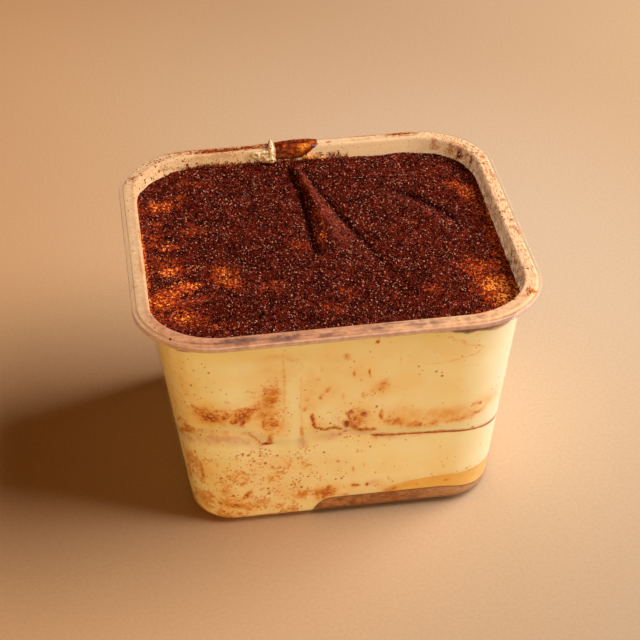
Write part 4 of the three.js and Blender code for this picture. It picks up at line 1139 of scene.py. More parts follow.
def crust_grid(cells):
    """Points of the top as a square grid: each square ring of the grid becomes the wall's outline drawn
    in evenly, and its points are spread along the outline by length, from corner to corner."""
    across, up = np.meshgrid(np.linspace(-1, 1, cells), np.linspace(-1, 1, cells))
    scale = np.maximum(abs(across), abs(up))
    safe = np.where(scale == 0, 1, scale)
    on_x_side = abs(across) >= abs(up)
    share = np.where(on_x_side, up, across) / safe
    height = np.full(across.shape, COCOA_INSIDE)
    for _ in range(4):
        half_x, half_y, corner = wall_size(height, CRUST_INSET)
        run = np.where(on_x_side, half_y, half_x) - corner
        out = np.where(on_x_side, half_x, half_y)
        distance = abs(share) * (run + corner * np.pi / 4)
        turn = np.clip(distance - run, 0, None) / corner
        sideways = np.sign(share) * (np.minimum(distance, run) + corner * np.sin(turn))
        outward = out - corner + corner * np.cos(turn)
        edge_x = np.where(on_x_side, np.sign(across) * outward, sideways)
        edge_y = np.where(on_x_side, sideways, np.sign(up) * outward)
        height = crust_height(edge_x, edge_y)
    return edge_x * scale, edge_y * scale


# Patches where the crust is thin and the cream shows through it, orange and damp. The two strongest,
# at the front right, are painted extra bright, as painted light against the shadow that the right wall
# casts there.
THIN_PATCHES = [
    (-43.8, 27.4, 6, 3.4, 8, 1.25), (-38, 32, 4, 2, 20, 0.8), (-35, 40, 7, 2.5, -15, 0.6),
    (-34, 13, 4.5, 2, 10, 0.9), (-47, 10, 3, 7, 0, 0.6), (-44, -4.6, 5, 5, 0, 0.9),
    (-28.4, -11.5, 5, 7.5, 10, 1.1), (-46.5, -23, 3.4, 8, 0, 1.15), (-41, -30, 6, 4.5, -30, 1.05),
    (-33, -35, 7, 2.4, -8, 0.75), (-16.5, -18.5, 4, 3.5, 0, 0.8), (46, 21, 3.4, 6, 0, 1.0),
    (48.6, 2, 2.6, 26, 0, 0.95), (44.6, -29, 6, 7, 0, 2.3), (40, -18, 6, 6, 0, 0.9),
    (47.6, -17, 2.6, 8, 0, 1.1), (45.6, -35, 4.5, 4.5, 0, 1.9), (38, -40, 7, 2, 12, 0.9),
    (0.6, 5, 1.3, 6, -8, 1.0), (-7, 2, 4, 7, 0, 0.55), (-2, -32, 5, 4, 0, 0.5), (3, -25, 4, 4, 0, 0.45),
    (38, 34, 6, 4, 0, 0.45), (20, 2, 5, 7, 0, 0.3), (28, -28, 7, 5, 0, 0.4), (-22, 8, 6, 4, 0, 0.35),
    (-49.9, -6, 0.8, 26, 0, 1.6), (-0.6, 28, 1.2, 9, 6, 0.5), (0.8, 12, 1.8, 9, 4, 0.6),
    (43, 26, 4, 4, 0, 0.7),
]

# Painted shade in dents and hollows, and darker patches of the crust.
DARK_PATCHES = [
    (-36, 18, 4, 2.5, 0, 0.9), (-47, -14, 2.4, 3, 0, 0.8), (-16, -14.5, 2.6, 2, 0, 0.8),
    (8, 20, 2, 8, -15, 0.5), (18, -2, 4, 6, 30, 0.5), (24, 27, 6, 2.5, -40, 0.5), (-24, 2, 7, 4, 20, 0.5),
    (-10, -8, 4, 6, 0, 0.45), (23, -14, 2, 9, 0, 0.5), (-14, 38, 8, 4, 0, 0.35), (10, -36, 14, 3, 0, 0.35),
]


def lit_slope(x, y):
    """1 on the smooth slope between the main fold's crest and its foot, less on the softer fold's outer
    slope, else 0. There the crust is painted lighter, as painted light on slopes that face the lamp."""
    across = smooth((x - fold_crest_x(y) + 0.9) / 2.2) * smooth((fold_foot_x(y) + 0.4 - x) / 1.8)
    main = across * smooth((46 - y) / 4) * smooth((y + 15) / 22)
    radius = np.hypot(x - ARC_FOLD["x"], y - ARC_FOLD["y"])
    soft = 0.7 * bell(radius - ARC_FOLD["crease_radius"] + 3.4, 2.2) * arc_strength(x, y)
    return np.maximum(main, soft)


grid_x, grid_y = crust_grid(CRUST_CELLS)
grid_z = crust_height(grid_x, grid_y)
jitter = np.random.default_rng(41).normal(0, 1, grid_z.shape)
thin = blots(grid_x, grid_y, THIN_PATCHES)
# Painted shade along the creases and along the soft fold's arc, and in the dark patches.
crease_shade = 0.6 * smooth((crease_depth(grid_x, grid_y) - 0.08) / 0.25)
from_arc = np.hypot(grid_x - ARC_FOLD["x"], grid_y - ARC_FOLD["y"]) - ARC_FOLD["crease_radius"]
arc_shade = 0.6 * bell(from_arc - 0.6, 2.0) * arc_strength(grid_x, grid_y)
shaded = np.maximum(np.maximum(blots(grid_x, grid_y, DARK_PATCHES), crease_shade), arc_shade)
slope = lit_slope(grid_x, grid_y)

# Relief of the sieved powder in millimetres, half as rough on the smooth slope.
roughness = 1 - 0.5 * slope
lumps = cloud(grid_x, grid_y, 0.9, 42) + 0.6 * cloud(grid_x, grid_y, 0.45, 43)
lumps = lumps + 0.8 * cloud(grid_x, grid_y, 2.2, 44) - 1.2
grid_z = grid_z + roughness * (0.08 * jitter + 0.24 * lumps)


def square_grid_faces(cells):
    """Quads of a square grid of points, facing up."""
    number = np.arange(cells * cells).reshape(cells, cells)
    return np.stack([number[:-1, :-1], number[:-1, 1:], number[1:, 1:], number[1:, :-1]], -1).reshape(-1, 4)


def grid_border(cells):
    """Numbers of a square grid's border points, counter-clockwise from the front left."""
    number = np.arange(cells * cells).reshape(cells, cells)
    return np.concatenate([number[0, :-1], number[:-1, -1], number[-1, :0:-1], number[:0:-1, 0]])


# The crust is closed below by a hem along its edge and a fan from the hem to one point in the middle.
crust_points = np.stack([grid_x, grid_y, grid_z], -1).reshape(-1, 3)
border = grid_border(CRUST_CELLS)
hem = crust_points[border] - [0, 0, HEM_DEPTH]
under = np.array([[0, 0, COCOA_INSIDE - UNDERSIDE_DEPTH]])
hem_number = len(crust_points) + np.arange(len(border))
skirt = np.stack([hem_number, np.roll(hem_number, -1), np.roll(border, -1), border], -1)
middle_number = np.full(len(border), len(crust_points) + len(border))
fan = np.stack([middle_number, np.roll(hem_number, -1), hem_number], -1)
crust_marks = {
    name: np.concatenate([amount.ravel(), amount.ravel()[border], [0]])
    for name, amount in {"thin": thin, "slope": slope, "shaded": shaded}.items()
}
cocoa_crust = make_piece(
    "cocoa_crust", np.vstack([crust_points, hem, under]),
    np.vstack([square_grid_faces(CRUST_CELLS), skirt]), fan, crust_marks, np.radians(170),
)


def sieved_cocoa():
    """Cocoa powder: each fleck has its own brown and a few are pale, over dark gaps painted as shade
    between the grains. Where the crust is thin, wet orange cream shows between the flecks. The fold's
    lit slope carries painted light, and creases and hollows painted shade."""
    finish, tree, shader, _ = new_finish("sieved_cocoa")
    place = node(tree, "ShaderNodeTexCoord").outputs["Object"]
    flecks = node(tree, "ShaderNodeTexVoronoi", {"Vector": place, "Scale": 1 / (0.42 * MM)})
    chance = node(tree, "ShaderNodeSeparateColor", {"Color": flecks.outputs["Color"]})
    tone = between(tree, grain(tree, 5, 4, 0.6), 0.38, 0.62)
    dark = blended(tree, tone, srgb(44, 4, 1), srgb(98, 20, 6))
    colour = blended(tree, between(tree, chance.outputs[0], 0.4, 1.0), dark, srgb(132, 42, 20))
    # A few pale flecks: partly dry powder, partly painted glints where grains catch the light.
    colour = blended(tree, between(tree, chance.outputs[1], 0.92, 0.97), colour, srgb(196, 122, 98))
    # Painted light: the fold's lit slope is painted a lighter pinkish brown.
    colour = blended(tree, product(tree, mark_of(tree, "slope"), 0.5), colour, srgb(140, 62, 46))
    # Painted shade in the gaps between the flecks.
    gap = between(tree, flecks.outputs["Distance"], 0.5, 0.8)
    colour = blended(tree, product(tree, gap, 0.75), colour, srgb(28, 3, 1))
    damp = clouded_mark(tree, "thin", grain(tree, 3.2, 3, 0.6), 0.34, 0.6, 0.45, 1.25)
    show = product(tree, damp, between(tree, grain(tree, 0.8, 4, 0.72), 0.44, 0.64))
    colour = blended(tree, between(tree, damp, 0.1, 1.0, 0, 0.8), colour, srgb(128, 34, 10))
    colour = blended(tree, between(tree, show, 0.1, 0.6), colour, srgb(200, 78, 12))
    colour = blended(tree, between(tree, show, 0.6, 1.0), colour, srgb(250, 158, 66))
    # Painted shade in the creases, hollows and dark patches.
    colour = blended(tree, product(tree, mark_of(tree, "shaded"), 0.65), colour, srgb(34, 5, 2))
    height = maths(tree, "SUBTRACT", 1.0, flecks.outputs["Distance"])
    join(tree, shader, {
        "Base Color": colour,
        "Roughness": between(tree, show, 0.1, 0.6, 0.9, 0.4),
        "Specular IOR Level": 0.06,
        "Normal": bumped(tree, height, 0.7, 0.3),
    })
    return finish


cocoa_crust.data.materials.append(sieved_cocoa())
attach(cocoa_crust, "root")
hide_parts("cocoa_top")

# ---- Loose cocoa grains --------------------------------------------------------------------------
# Grains that stuck together in the sieve lie on the crust: very many fine ones and fewer coarse ones,
# each of its own size, turn and shade. They are fewer where the crust is thin and on the fold's slope.

OCTAHEDRON = np.array([[1, 0, 0], [-1, 0, 0], [0, 1, 0], [0, -1, 0], [0, 0, 1], [0, 0, -1]], float)
OCTAHEDRON_FACES = np.array([
    [0, 2, 4], [2, 1, 4], [1, 3, 4], [3, 0, 4], [2, 0, 5], [1, 2, 5], [3, 1, 5], [0, 3, 5],
])
GOLDEN = (1 + 5**0.5) / 2
ICOSAHEDRON = np.array([
    [-1, GOLDEN, 0], [1, GOLDEN, 0], [-1, -GOLDEN, 0], [1, -GOLDEN, 0], [0, -1, GOLDEN], [0, 1, GOLDEN],
    [0, -1, -GOLDEN], [0, 1, -GOLDEN], [GOLDEN, 0, -1], [GOLDEN, 0, 1], [-GOLDEN, 0, -1], [-GOLDEN, 0, 1],
]) / np.hypot(1, GOLDEN)
ICOSAHEDRON_FACES = np.array([
    [0, 11, 5], [0, 5, 1], [0, 1, 7], [0, 7, 10], [0, 10, 11], [1, 5, 9], [5, 11, 4], [11, 10, 2],
    [10, 7, 6], [7, 1, 8], [3, 9, 4], [3, 4, 2], [3, 2, 6], [3, 6, 8], [3, 8, 9], [4, 9, 5], [2, 4, 11],
    [6, 2, 10], [8, 6, 7], [9, 8, 1],
])


def random_turns(draw, count):
    """Evenly random turns as matrices, from random unit quaternions."""
    quaternions = draw.normal(size=(count, 4))
    w, i, j, k = (quaternions / np.linalg.norm(quaternions, axis=1, keepdims=True)).T
    rows = [
        [1 - 2 * (j * j + k * k), 2 * (i * j - k * w), 2 * (i * k + j * w)],
        [2 * (i * j + k * w), 1 - 2 * (i * i + k * k), 2 * (j * k - i * w)],
        [2 * (i * k - j * w), 2 * (j * k + i * w), 1 - 2 * (i * i + j * j)],
    ]
    return np.moveaxis(np.array(rows), -1, 0)


def scatter(name, draw, middles, radii, shape, shape_faces, finish):
    """One mesh of many grains: the shape, stretched a little at random, turned and set at each middle."""
    count = len(middles)
    stretch = draw.uniform(0.7, 1.3, (count, 1, 3))
    turned = np.einsum("nij,nkj->nki", random_turns(draw, count), shape[None] * stretch)
    points = (middles[:, None] + turned * radii[:, None, None]).reshape(-1, 3)
    faces = (shape_faces[None] + np.arange(count)[:, None, None] * len(shape)).reshape(-1, 3)
    shade = np.repeat(draw.random(count), len(shape))
    none = np.empty((0, 4), int)
    piece = make_piece(name, points, none, faces, {"shade": shade}, np.radians(10))
    piece.data.materials.append(finish)
    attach(piece, "root")


def inside_outline(x, y, size):
    """Whether points lie inside a round-cornered outline: nearer than its corner radius to the box that
    its corners turn about."""
    half_x, half_y, corner = size
    out_x = np.maximum(abs(x) - half_x + corner, 0)
    out_y = np.maximum(abs(y) - half_y + corner, 0)
    return np.hypot(out_x, out_y) < corner


def places_on_top(draw, count, margin):
    """Random places on the crust, inside the wall by a margin, fewer on thin patches and on the slope."""
    size = wall_size(COCOA_INSIDE, CRUST_INSET + margin)
    x = draw.uniform(-size[0], size[0], count * 2)
    y = draw.uniform(-size[1], size[1], count * 2)
    keep = 1 - 0.75 * blots(x, y, THIN_PATCHES) - 0.5 * lit_slope(x, y)
    kept = inside_outline(x, y, size) & (draw.random(count * 2) < keep)
    x, y = x[kept][:count], y[kept][:count]
    return np.stack([x, y, crust_height(x, y)], -1)


def grain_finish(name, darkest, brown, lightest, share_lightest):
    """Cocoa grains, each of its own shade from its darkest to brown, and a share of them at the lightest
    colour. They are matt."""
    finish, tree, shader, _ = new_finish(name)
    shade = mark_of(tree, "shade")
    colour = blended(tree, between(tree, shade, 0.2, 0.85), darkest, brown)
    colour = blended(tree, between(tree, shade, 1 - share_lightest, 1.0), colour, lightest)
    colour = blended(tree, between(tree, grain(tree, 0.2, 2), 0.3, 0.7, 0, 0.35), colour, darkest)
    join(tree, shader, {"Base Color": colour, "Roughness": 0.75, "Specular IOR Level": 0.05})
    return finish


# On the crust the lightest grains are partly dry powder and partly painted glints of light.
cocoa_grain_finish = grain_finish(
    "cocoa_grains", srgb(42, 5, 2), srgb(122, 36, 15), srgb(224, 158, 134), share_lightest=0.18
)


def strew(name, seed, count, margin, radii, lift, shape, shape_faces):
    """Grains strewn over the crust, each lifted off it by a share of its own radius."""
    draw = np.random.default_rng(seed)
    middles = places_on_top(draw, count, margin)
    sizes = draw.uniform(*radii, len(middles))
    middles[:, 2] += sizes * lift
    scatter(name, draw, middles, sizes, shape, shape_faces, cocoa_grain_finish)


strew(
    "fine_cocoa_grains", seed=51, count=24500, margin=0.5, radii=(0.11, 0.24), lift=0.5,
    shape=OCTAHEDRON, shape_faces=OCTAHEDRON_FACES,
)
strew(
    "coarse_cocoa_grains", seed=52, count=7500, margin=0.7, radii=(0.17, 0.3), lift=0.4,
    shape=ICOSAHEDRON, shape_faces=ICOSAHEDRON_FACES,
)

# ---- Tongue of wet cocoa cream over the rim --------------------------------------------------------
# Cocoa cream that was dragged over the back rim and ran down the inner wall: a thin glossy strip as
# wide as a finger on the rim, cut off slantwise on its right below.

TONGUE_LEFT = -7.4
TONGUE_RIGHT_ON_RIM = 5.4
TONGUE_RIGHT_AT_FOOT = 0.6
TONGUE_THICKNESS = 0.75
TONGUE_FOOT_HEIGHT = 66.6

# Shares of the way along a smear at which it leaves the flat rim, and has turned down the wall.
RIM_SHARE = 0.42
BEND_SHARE = 0.58


def over_rim(along, clearance, foot_height):
    """The line of a smear in the YZ plane: straight in over the rim, a quarter turn round its inner
    edge and straight down the inner wall, at a clearance. Gives place and outward direction."""
    outer_y = RIM_HALF_Y - 0.7
    inner_y = RIM_HALF_Y - RIM_WIDTH - 0.1
    turn = np.clip((along - RIM_SHARE) / (BEND_SHARE - RIM_SHARE), 0, 1) * np.pi / 2
    away_y, away_z = -np.sin(turn), np.cos(turn)
    flat_y = outer_y + (inner_y - outer_y) * np.clip(along / RIM_SHARE, 0, 1)
    y = flat_y + away_y * (WALL + clearance)
    z = RIM_TOP - WALL + away_z * (WALL + clearance)
    down = np.clip((along - BEND_SHARE) / (1 - BEND_SHARE), 0, 1)
    wall_z = RIM_TOP - WALL + (foot_height - RIM_TOP + WALL) * down
    y = np.where(down > 0, wall_size(wall_z, WALL + clearance)[1] - 0.1, y)
    return y, np.where(down > 0, wall_z, z), away_y, away_z


def tongue_points(along, across):
    """The tongue's outer face: across it runs from right to left, and it stands off the plastic by a
    dome with a wavy back."""
    y, z, away_y, away_z = over_rim(along, 0.05, TONGUE_FOOT_HEIGHT)
    slant = np.clip((along - RIM_SHARE) / (1 - RIM_SHARE), 0, 1)
    right_edge = TONGUE_RIGHT_ON_RIM + (TONGUE_RIGHT_AT_FOOT - TONGUE_RIGHT_ON_RIM) * slant
    right_edge = right_edge + 0.5 * (cloud(along * 30, along * 0, 2.2, 61) - 0.5)
    left_edge = TONGUE_LEFT + 0.35 * (cloud(along * 30, along * 0, 3, 62) - 0.5)
    x = right_edge + (left_edge - right_edge) * across
    dome = np.sin(across * np.pi) ** 0.5
    ends = np.sqrt(np.clip(1 - (2 * along - 1) ** 8, 0, 1))
    ridge = 0.5 * bell(along - 0.1, 0.04)
    waves = 0.6 + 0.35 * cloud(x, z * 1.5 + y, 1.6, 63) + 0.2 * cloud(x, y + z, 0.7, 64) + ridge
    rise = TONGUE_THICKNESS * dome * ends * waves
    return np.stack([x, y + away_y * rise, z + away_z * rise], -1)


# Where the tongue is thin and lets the cream show orange, and where it is painted dark: painted shadow
# at its foot, and dark along its outer edge and in one patch. Share of the way over the rim, share of
# the way from right to left, their half sizes, tilt and strength.
TONGUE_THIN = [
    (0.5, 0.3, 0.16, 0.16, 20, 1.1), (0.62, 0.6, 0.1, 0.12, 0, 0.5), (0.3, 0.12, 0.12, 0.1, 0, 0.7),
    (0.42, 0.8, 0.08, 0.12, 0, 0.4), (0.75, 0.35, 0.1, 0.1, 0, 0.5),
]
TONGUE_DARK = [(0.0, 0.5, 0.05, 2, 0, 1.0), (1.0, 0.5, 0.14, 2, 0, 0.9), (0.25, 0.6, 0.1, 0.4, 0, 0.5)]

tongue_along, tongue_across = np.meshgrid(np.linspace(0, 1, 90), np.linspace(0, 1, 80), indexing="ij")
tongue_face = tongue_points(tongue_along, tongue_across)
back_y, back_z, _, _ = over_rim(tongue_along, -0.03, TONGUE_FOOT_HEIGHT)
tongue_back = np.stack([tongue_face[..., 0], back_y, back_z], -1)
tongue_rings = np.concatenate([tongue_face, tongue_back[:, ::-1]], axis=1)
tongue_marks = {
    name: np.append(np.concatenate([blots(tongue_along, tongue_across, rows)] * 2, axis=1), [0, 0])
    for name, rows in {"thin": TONGUE_THIN, "shaded": TONGUE_DARK}.items()
}
wet_tongue = make_piece("wet_cocoa_tongue", *ring_solid(tongue_rings), tongue_marks, np.radians(60))


def wet_cocoa_cream():
    """Glossy cocoa cream: dark red-brown where thick, orange where thin, with a sprinkle of cocoa, and
    painted dark where it is marked shaded.
    """
    finish, tree, shader, _ = new_finish("wet_cocoa_cream")
    tone = between(tree, grain(tree, 1.6, 4, 0.6), 0.38, 0.62)
    colour = blended(tree, tone, srgb(84, 20, 3), srgb(156, 58, 10))
    thin = clouded_mark(tree, "thin", grain(tree, 0.7, 4, 0.65), 0.36, 0.6, 0.2, 1.2)
    colour = blended(tree, between(tree, thin, 0.15, 0.6), colour, srgb(204, 102, 20))
    colour = blended(tree, between(tree, thin, 0.6, 1.1), colour, srgb(244, 170, 66))
    sprinkled = between(tree, grain(tree, 0.6, 4, 0.65), 0.54, 0.66, 0, 0.8)
    colour = blended(tree, sprinkled, colour, srgb(66, 14, 3))
    # Painted shade: a painted shadow at the tongue's foot, and dark along its outer edge.
    shaded = product(tree, mark_of(tree, "shaded"), 0.85, clamp=True)
    join(tree, shader, {
        "Base Color": blended(tree, shaded, colour, srgb(58, 12, 3)),
        "Roughness": 0.4,
        "Specular IOR Level": 0.25,
        "Coat Weight": 0.12,
        "Coat Roughness": 0.15,
        "Normal": bumped(tree, grain(tree, 0.6, 3), 0.25, 0.3),
    })
    return finish


wet_tongue.data.materials.append(wet_cocoa_cream())
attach(wet_tongue, "root")
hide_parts("rim_tongue")

# ---- Bead and foam of clean cream ------------------------------------------------------------------
# A strand of clean cream squeezed out along the tongue's left edge, which ends in a lump of frothy
# cream against the inner wall. Fine air bubbles have burst in it and left round pits.

BEAD_RADIUS = 0.85
BEAD_GAP = 0.25
BEAD_FOOT_HEIGHT = 67.5
FOAM_FOOT_HEIGHT = 66.85


def bead_rings(count, around):
    """A round strand along the line over the rim, with a radius that swells and shrinks, and round
    ends like half ellipses."""
    along = np.linspace(0, 1, count)[:, None]
    turn = np.linspace(0, 2 * np.pi, around, endpoint=False)
    y, z, away_y, away_z = over_rim(along, BEAD_RADIUS, BEAD_FOOT_HEIGHT)
    wander = 0.25 * (cloud(along * 20, along * 0, 3, 71) - 0.5)
    x = TONGUE_LEFT - BEAD_GAP - BEAD_RADIUS - along * 0.6 + wander
    ends = np.sqrt(np.clip(1 - (2 * along - 1) ** 10, 0.001, 1)) * (0.7 + 0.3 * smooth(along / 0.35))
    radius = BEAD_RADIUS * ends * (0.85 + 0.15 * cloud(along * 20, along * 0, 2.5, 72))
    sideways, outward = radius * np.cos(turn), radius * np.sin(turn)
    ring_y, ring_z = y + away_y * outward, z + away_z * outward
    return np.stack([x + sideways + 0 * ring_y, ring_y, ring_z], -1)


THIN_CREAM_DEPTH = 1.2


def clean_cream():
    """Pale cream with a soft sheen, orange where coffee has stained it, with scattered dark specks."""
    finish, tree, shader, _ = new_finish("clean_cream")
    tone = between(tree, grain(tree, 1.2, 3), 0.35, 0.65)
    colour = blended(tree, tone, srgb(238, 208, 172), srgb(228, 184, 134))
    stained = clouded_mark(tree, "stain", grain(tree, 0.8, 3), 0.3, 0.6, 0.4, 1.3)
    colour = blended(tree, between(tree, stained, 0.1, 0.9), colour, srgb(226, 140, 54))
    dark_specks = product(tree, specks(tree, 0.8, 0.34, 0.34), 0.9)
    join(tree, shader, {
        "Base Color": blended(tree, dark_specks, colour, srgb(104, 44, 14)),
        "Roughness": 0.4,
        "Subsurface Weight": 0.3,
        "Subsurface Radius": CREAM_SPREAD,
        "Subsurface Scale": THIN_CREAM_DEPTH * MM,
        "Normal": bumped(tree, grain(tree, 0.5, 3), 0.4, 0.3),
    })
    return finish


clean_cream_finish = clean_cream()
bead_points, bead_quads, bead_triangles = ring_solid(bead_rings(60, 20)[:, ::-1])
cream_bead = make_piece("cream_bead", bead_points, bead_quads, bead_triangles, {"stain": 0}, np.radians(60))
cream_bead.data.materials.append(clean_cream_finish)
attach(cream_bead, "root")
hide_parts("rim_bead")


def foam_rings(middle, half_sizes, seed, count=56, around=120):
    """A lump like an ellipsoid with its long axis along X, pushed out by noise in millimetres and drawn
    in by round pits: each pit is a bell about a random place on the lump."""
    draw = np.random.default_rng(seed)
    polar = np.linspace(np.pi - 0.06, 0.06, count)[:, None]
    turn = np.linspace(0, 2 * np.pi, around, endpoint=False)
    wide = np.sin(polar)
    direction = np.stack([np.cos(polar) + 0 * turn, wide * np.cos(turn), wide * np.sin(turn)], -1)
    half = np.array(half_sizes)
    skin = direction * half
    outward = direction / half
    outward = outward / np.linalg.norm(outward, axis=-1, keepdims=True)
    rise = 0.7 * cloud(skin[..., 0] + 40, skin[..., 2] + 0.6 * skin[..., 1] + 40, 0.95, seed) - 0.45
    pits = draw.normal(size=(26, 3))
    pits = pits / np.linalg.norm(pits, axis=1, keepdims=True) * half
    for pit in pits:
        gap = np.linalg.norm(skin - pit, axis=-1)
        rise = rise - 0.35 * bell(gap, draw.uniform(0.16, 0.34))
    tips = smooth(wide / 0.35)
    return np.array(middle) + skin + outward * (rise * tips * min(half_sizes[1], 0.9))[..., None]


# Lumps of foam against the back wall: middle, half sizes, seed, and how far coffee has stained them.
foam_wall_y = wall_size(FOAM_FOOT_HEIGHT, WALL)[1]
FOAM_LUMPS = {
    "foam_lump": ((-11.6, foam_wall_y - 0.7, 68.9), (3.7, 0.85, 1.35), 81, 0.0),
    "foam_lump_low": ((-9.4, foam_wall_y - 0.95, 67.2), (1.9, 0.85, 1.35), 82, 0.0),
    "foam_lump_right": ((2.9, foam_wall_y - 0.55, 66.9), (2.7, 0.55, 0.95), 83, 0.75),
    "foam_lump_far": ((6.7, foam_wall_y - 0.45, 66.2), (1.8, 0.45, 0.65), 84, 0.6),
}
for lump_name, (lump_middle, lump_size, lump_seed, stain) in FOAM_LUMPS.items():
    lump_points, lump_quads, lump_triangles = ring_solid(foam_rings(lump_middle, lump_size, lump_seed))
    depth_in_crust = (lump_middle[2] - lump_points[:, 2]) / lump_size[2]
    lump_marks = {"stain": stain + 0.5 * smooth((depth_in_crust - 0.2) / 0.7)}
    lump = make_piece(lump_name, lump_points, lump_quads, lump_triangles, lump_marks, np.radians(80))
    lump.data.materials.append(clean_cream_finish)
    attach(lump, "root")

# ---- Cocoa stuck to the wall and the rim -----------------------------------------------------------
# Damp cocoa has crept up the back wall as a ragged brown fringe, and loose grains lie on the flange,
# along its back and at all corners but the front left one.

FRINGE = {"left": -42, "right": 14.5, "wall_height": 66.0, "count": 2600, "rise": 0.46, "highest": 2.8}

# Clusters of grains on the flange: x, y, reach and count.
RIM_CLUSTERS = [
    (46.5, 38.5, 1.3, 110), (49, 34.5, 1.0, 50), (50.2, -39.8, 1.2, 70), (-50.8, 37, 0.8, 40),
    (-29, 50.6, 4, 120), (-21, 49.4, 5, 240), (-44, 46.5, 4, 110), (27, 51.2, 4, 60),
]


def fringe_places(draw):
    """Grains on the back wall just over the crust: their height falls off like an exponential, levels
    off at a highest one and is uneven along the wall."""
    count = FRINGE["count"]
    x = draw.uniform(FRINGE["left"], FRINGE["right"], count)
    ragged = 0.2 + 1.8 * cloud(x, 0 * x, 1.3, 91) ** 2 + 1.6 * bell(x - 10.5, 2.4)
    up = draw.exponential(FRINGE["rise"], count) * ragged
    up = FRINGE["highest"] * (1 - np.exp(-up / FRINGE["highest"]))
    half_y = wall_size(FRINGE["wall_height"], WALL)[1]
    z = crust_height(x, np.full(count, half_y)) + up
    return np.stack([x, wall_size(z, WALL)[1] - 0.1, z], -1)


def rim_places(draw):
    """Grains on the flange: clusters that fade like a bell about their middles, held to the flange."""
    rows = []
    for middle_x, middle_y, reach, count in RIM_CLUSTERS:
        x = middle_x + draw.normal(0, reach, count)
        y = middle_y + draw.normal(0, min(reach, 0.9), count)
        rows.append(np.stack([x, y, np.full(count, RIM_TOP)], -1))
    places = np.concatenate(rows)
    x, y, _ = places.T
    over_hole = inside_outline(x, y, rim_size(RIM_WIDTH))
    return places[inside_outline(x, y, rim_size(STEP_IN + 0.4)) & ~over_hole]


stuck_draw = np.random.default_rng(92)
stuck_middles = np.concatenate([fringe_places(stuck_draw), rim_places(stuck_draw)])
stuck_radii = stuck_draw.uniform(0.08, 0.24, len(stuck_middles))
damp_grain_finish = grain_finish(
    "damp_cocoa_grains", srgb(106, 32, 6), srgb(178, 80, 24), srgb(214, 122, 52), share_lightest=0.2
)
scatter(
    "stuck_cocoa_grains", stuck_draw, stuck_middles, stuck_radii, OCTAHEDRON, OCTAHEDRON_FACES,
    damp_grain_finish,
)

# ---- Floor, light and camera -----------------------------------------------------------------------
# The tub stands on pale paper, painted with a soft falloff of light. A broad soft lamp stands on its
# right, a weak warm one in front, and the camera looks down on it from a little left of the middle.

FLOOR_HALF = 3.0


def pale_paper():
    """Matt warm paper with a very fine grain, painted warmer towards the left and painted darker towards
    the front right and the back right, as painted falloff of the light."""
    finish, tree, shader, _ = new_finish("pale_paper")
    place = node(tree, "ShaderNodeTexCoord").outputs["Object"]
    apart = node(tree, "ShaderNodeSeparateXYZ", {"Vector": place})
    # Painted light: the paper is painted warmer towards the left, away from the lamp.
    rightward = between(tree, apart.outputs["X"], -0.14, 0.12)
    paper_with_painted_falloff = blended(tree, rightward, srgb(215, 165, 120), srgb(210, 184, 158))
    # Painted shade: the paper is painted darker towards the front right and the back right.
    forward = maths(tree, "SUBTRACT", apart.outputs["X"], apart.outputs["Y"])
    painted_shade_front_right = between(tree, forward, -0.1, 0.26, 0, 0.9)
    paper_with_painted_falloff = blended(tree, painted_shade_front_right, paper_with_painted_falloff, srgb(206, 197, 187), "MULTIPLY")
    away = maths(tree, "ADD", apart.outputs["X"], apart.outputs["Y"])
    paper_with_painted_falloff = blended(tree, between(tree, away, 0.14, 0.36), paper_with_painted_falloff, srgb(239, 224, 210), "MULTIPLY")
    fibre = between(tree, grain(tree, 1.0, 4, 0.65), 0.3, 0.7, 0, 0.13)
    colour = blended(tree, fibre, paper_with_painted_falloff, srgb(120, 96, 70))
    join(tree, shader, {"Base Color": colour, "Roughness": 0.8, "Specular IOR Level": 0.2})
    return finish


floor_mesh = bpy.data.meshes.new("paper_floor")
floor_corners = np.array([[-1, -1, 0], [1, -1, 0], [1, 1, 0], [-1, 1, 0]]) * FLOOR_HALF
floor_mesh.from_pydata(floor_corners.tolist(), [], [(0, 1, 2, 3)])
floor = bpy.data.objects.new("paper_floor", floor_mesh)
floor_mesh.materials.append(pale_paper())
bpy.context.scene.collection.objects.link(floor)


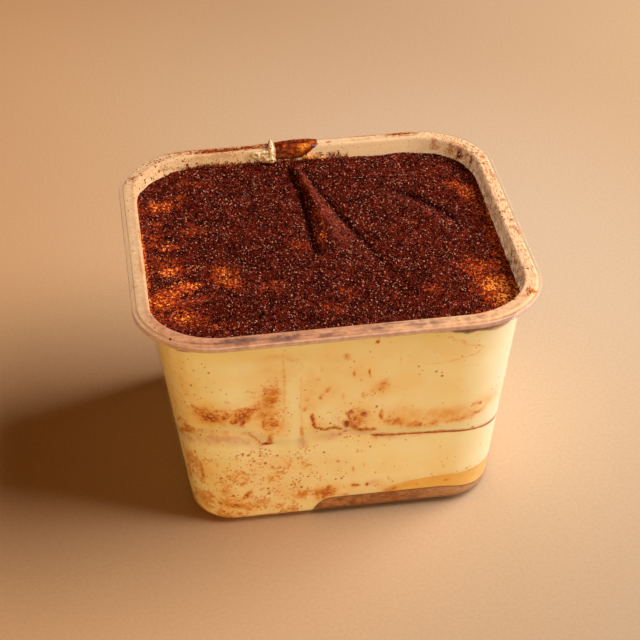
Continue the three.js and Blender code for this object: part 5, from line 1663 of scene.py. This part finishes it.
def soft_lamp(name, place, aim, size, power, colour):
    """A rectangular lamp of a size in metres, at a place, turned to its aim."""
    lamp = bpy.data.lights.new(name, "AREA")
    lamp.shape = "RECTANGLE"
    lamp.size, lamp.size_y = size
    lamp.energy = power
    lamp.color = colour
    holder = bpy.data.objects.new(name, lamp)
    holder.location = place
    holder.rotation_euler = (Vector(aim) - Vector(place)).to_track_quat("-Z", "Y").to_euler()
    bpy.context.scene.collection.objects.link(holder)


TUB_MIDDLE = (0.0, 0.0, 0.03)
soft_lamp(
    "window_lamp", place=(0.68, -0.03, 0.615), aim=TUB_MIDDLE, size=(0.86, 0.65), power=17.2,
    colour=(1.0, 0.97, 0.88),
)
soft_lamp(
    "front_lamp", place=(-0.45, -1.1, 0.16), aim=TUB_MIDDLE, size=(1.1, 0.3), power=6.8,
    colour=(1.0, 0.76, 0.26),
)

world = bpy.data.worlds.new("warm_room")
world.use_nodes = True
world.node_tree.nodes["Background"].inputs["Color"].default_value = (1.0, 0.2, 0.03, 1)
world.node_tree.nodes["Background"].inputs["Strength"].default_value = 0.05
bpy.context.scene.world = world
bpy.context.scene.view_settings.view_transform = "Standard"

CAMERA_AIM = np.array([-1.134, 0.0, 39.586])
CAMERA_DISTANCE = 559.43
CAMERA_AZIMUTH = np.radians(-7.349)
CAMERA_ELEVATION = np.radians(34.484)
CAMERA_ROLL = np.radians(-1.189)
CAMERA_LENS = 109.52
SENSOR_WIDTH = 36

# The camera looks along the way from its place to its aim, and is turned a little about that way.
level = np.cos(CAMERA_ELEVATION)
back = np.array([np.sin(CAMERA_AZIMUTH) * level, -np.cos(CAMERA_AZIMUTH) * level, np.sin(CAMERA_ELEVATION)])
level_right = np.cross(-back, [0, 0, 1])
level_right = level_right / np.linalg.norm(level_right)
level_up = np.cross(back, level_right)
right_way = np.cos(CAMERA_ROLL) * level_right + np.sin(CAMERA_ROLL) * level_up
up_way = np.cross(back, right_way)
place = (CAMERA_AIM + back * CAMERA_DISTANCE) * MM
turned = np.eye(4)
turned[:3] = np.stack([right_way, up_way, back, place], -1)

camera_data = bpy.data.cameras.new("camera")
camera_data.sensor_width = SENSOR_WIDTH
camera_data.lens = CAMERA_LENS
camera_data.clip_start = 0.01
camera = bpy.data.objects.new("camera", camera_data)
camera.matrix_world = Matrix(turned.tolist())
bpy.context.scene.collection.objects.link(camera)
bpy.context.scene.camera = camera
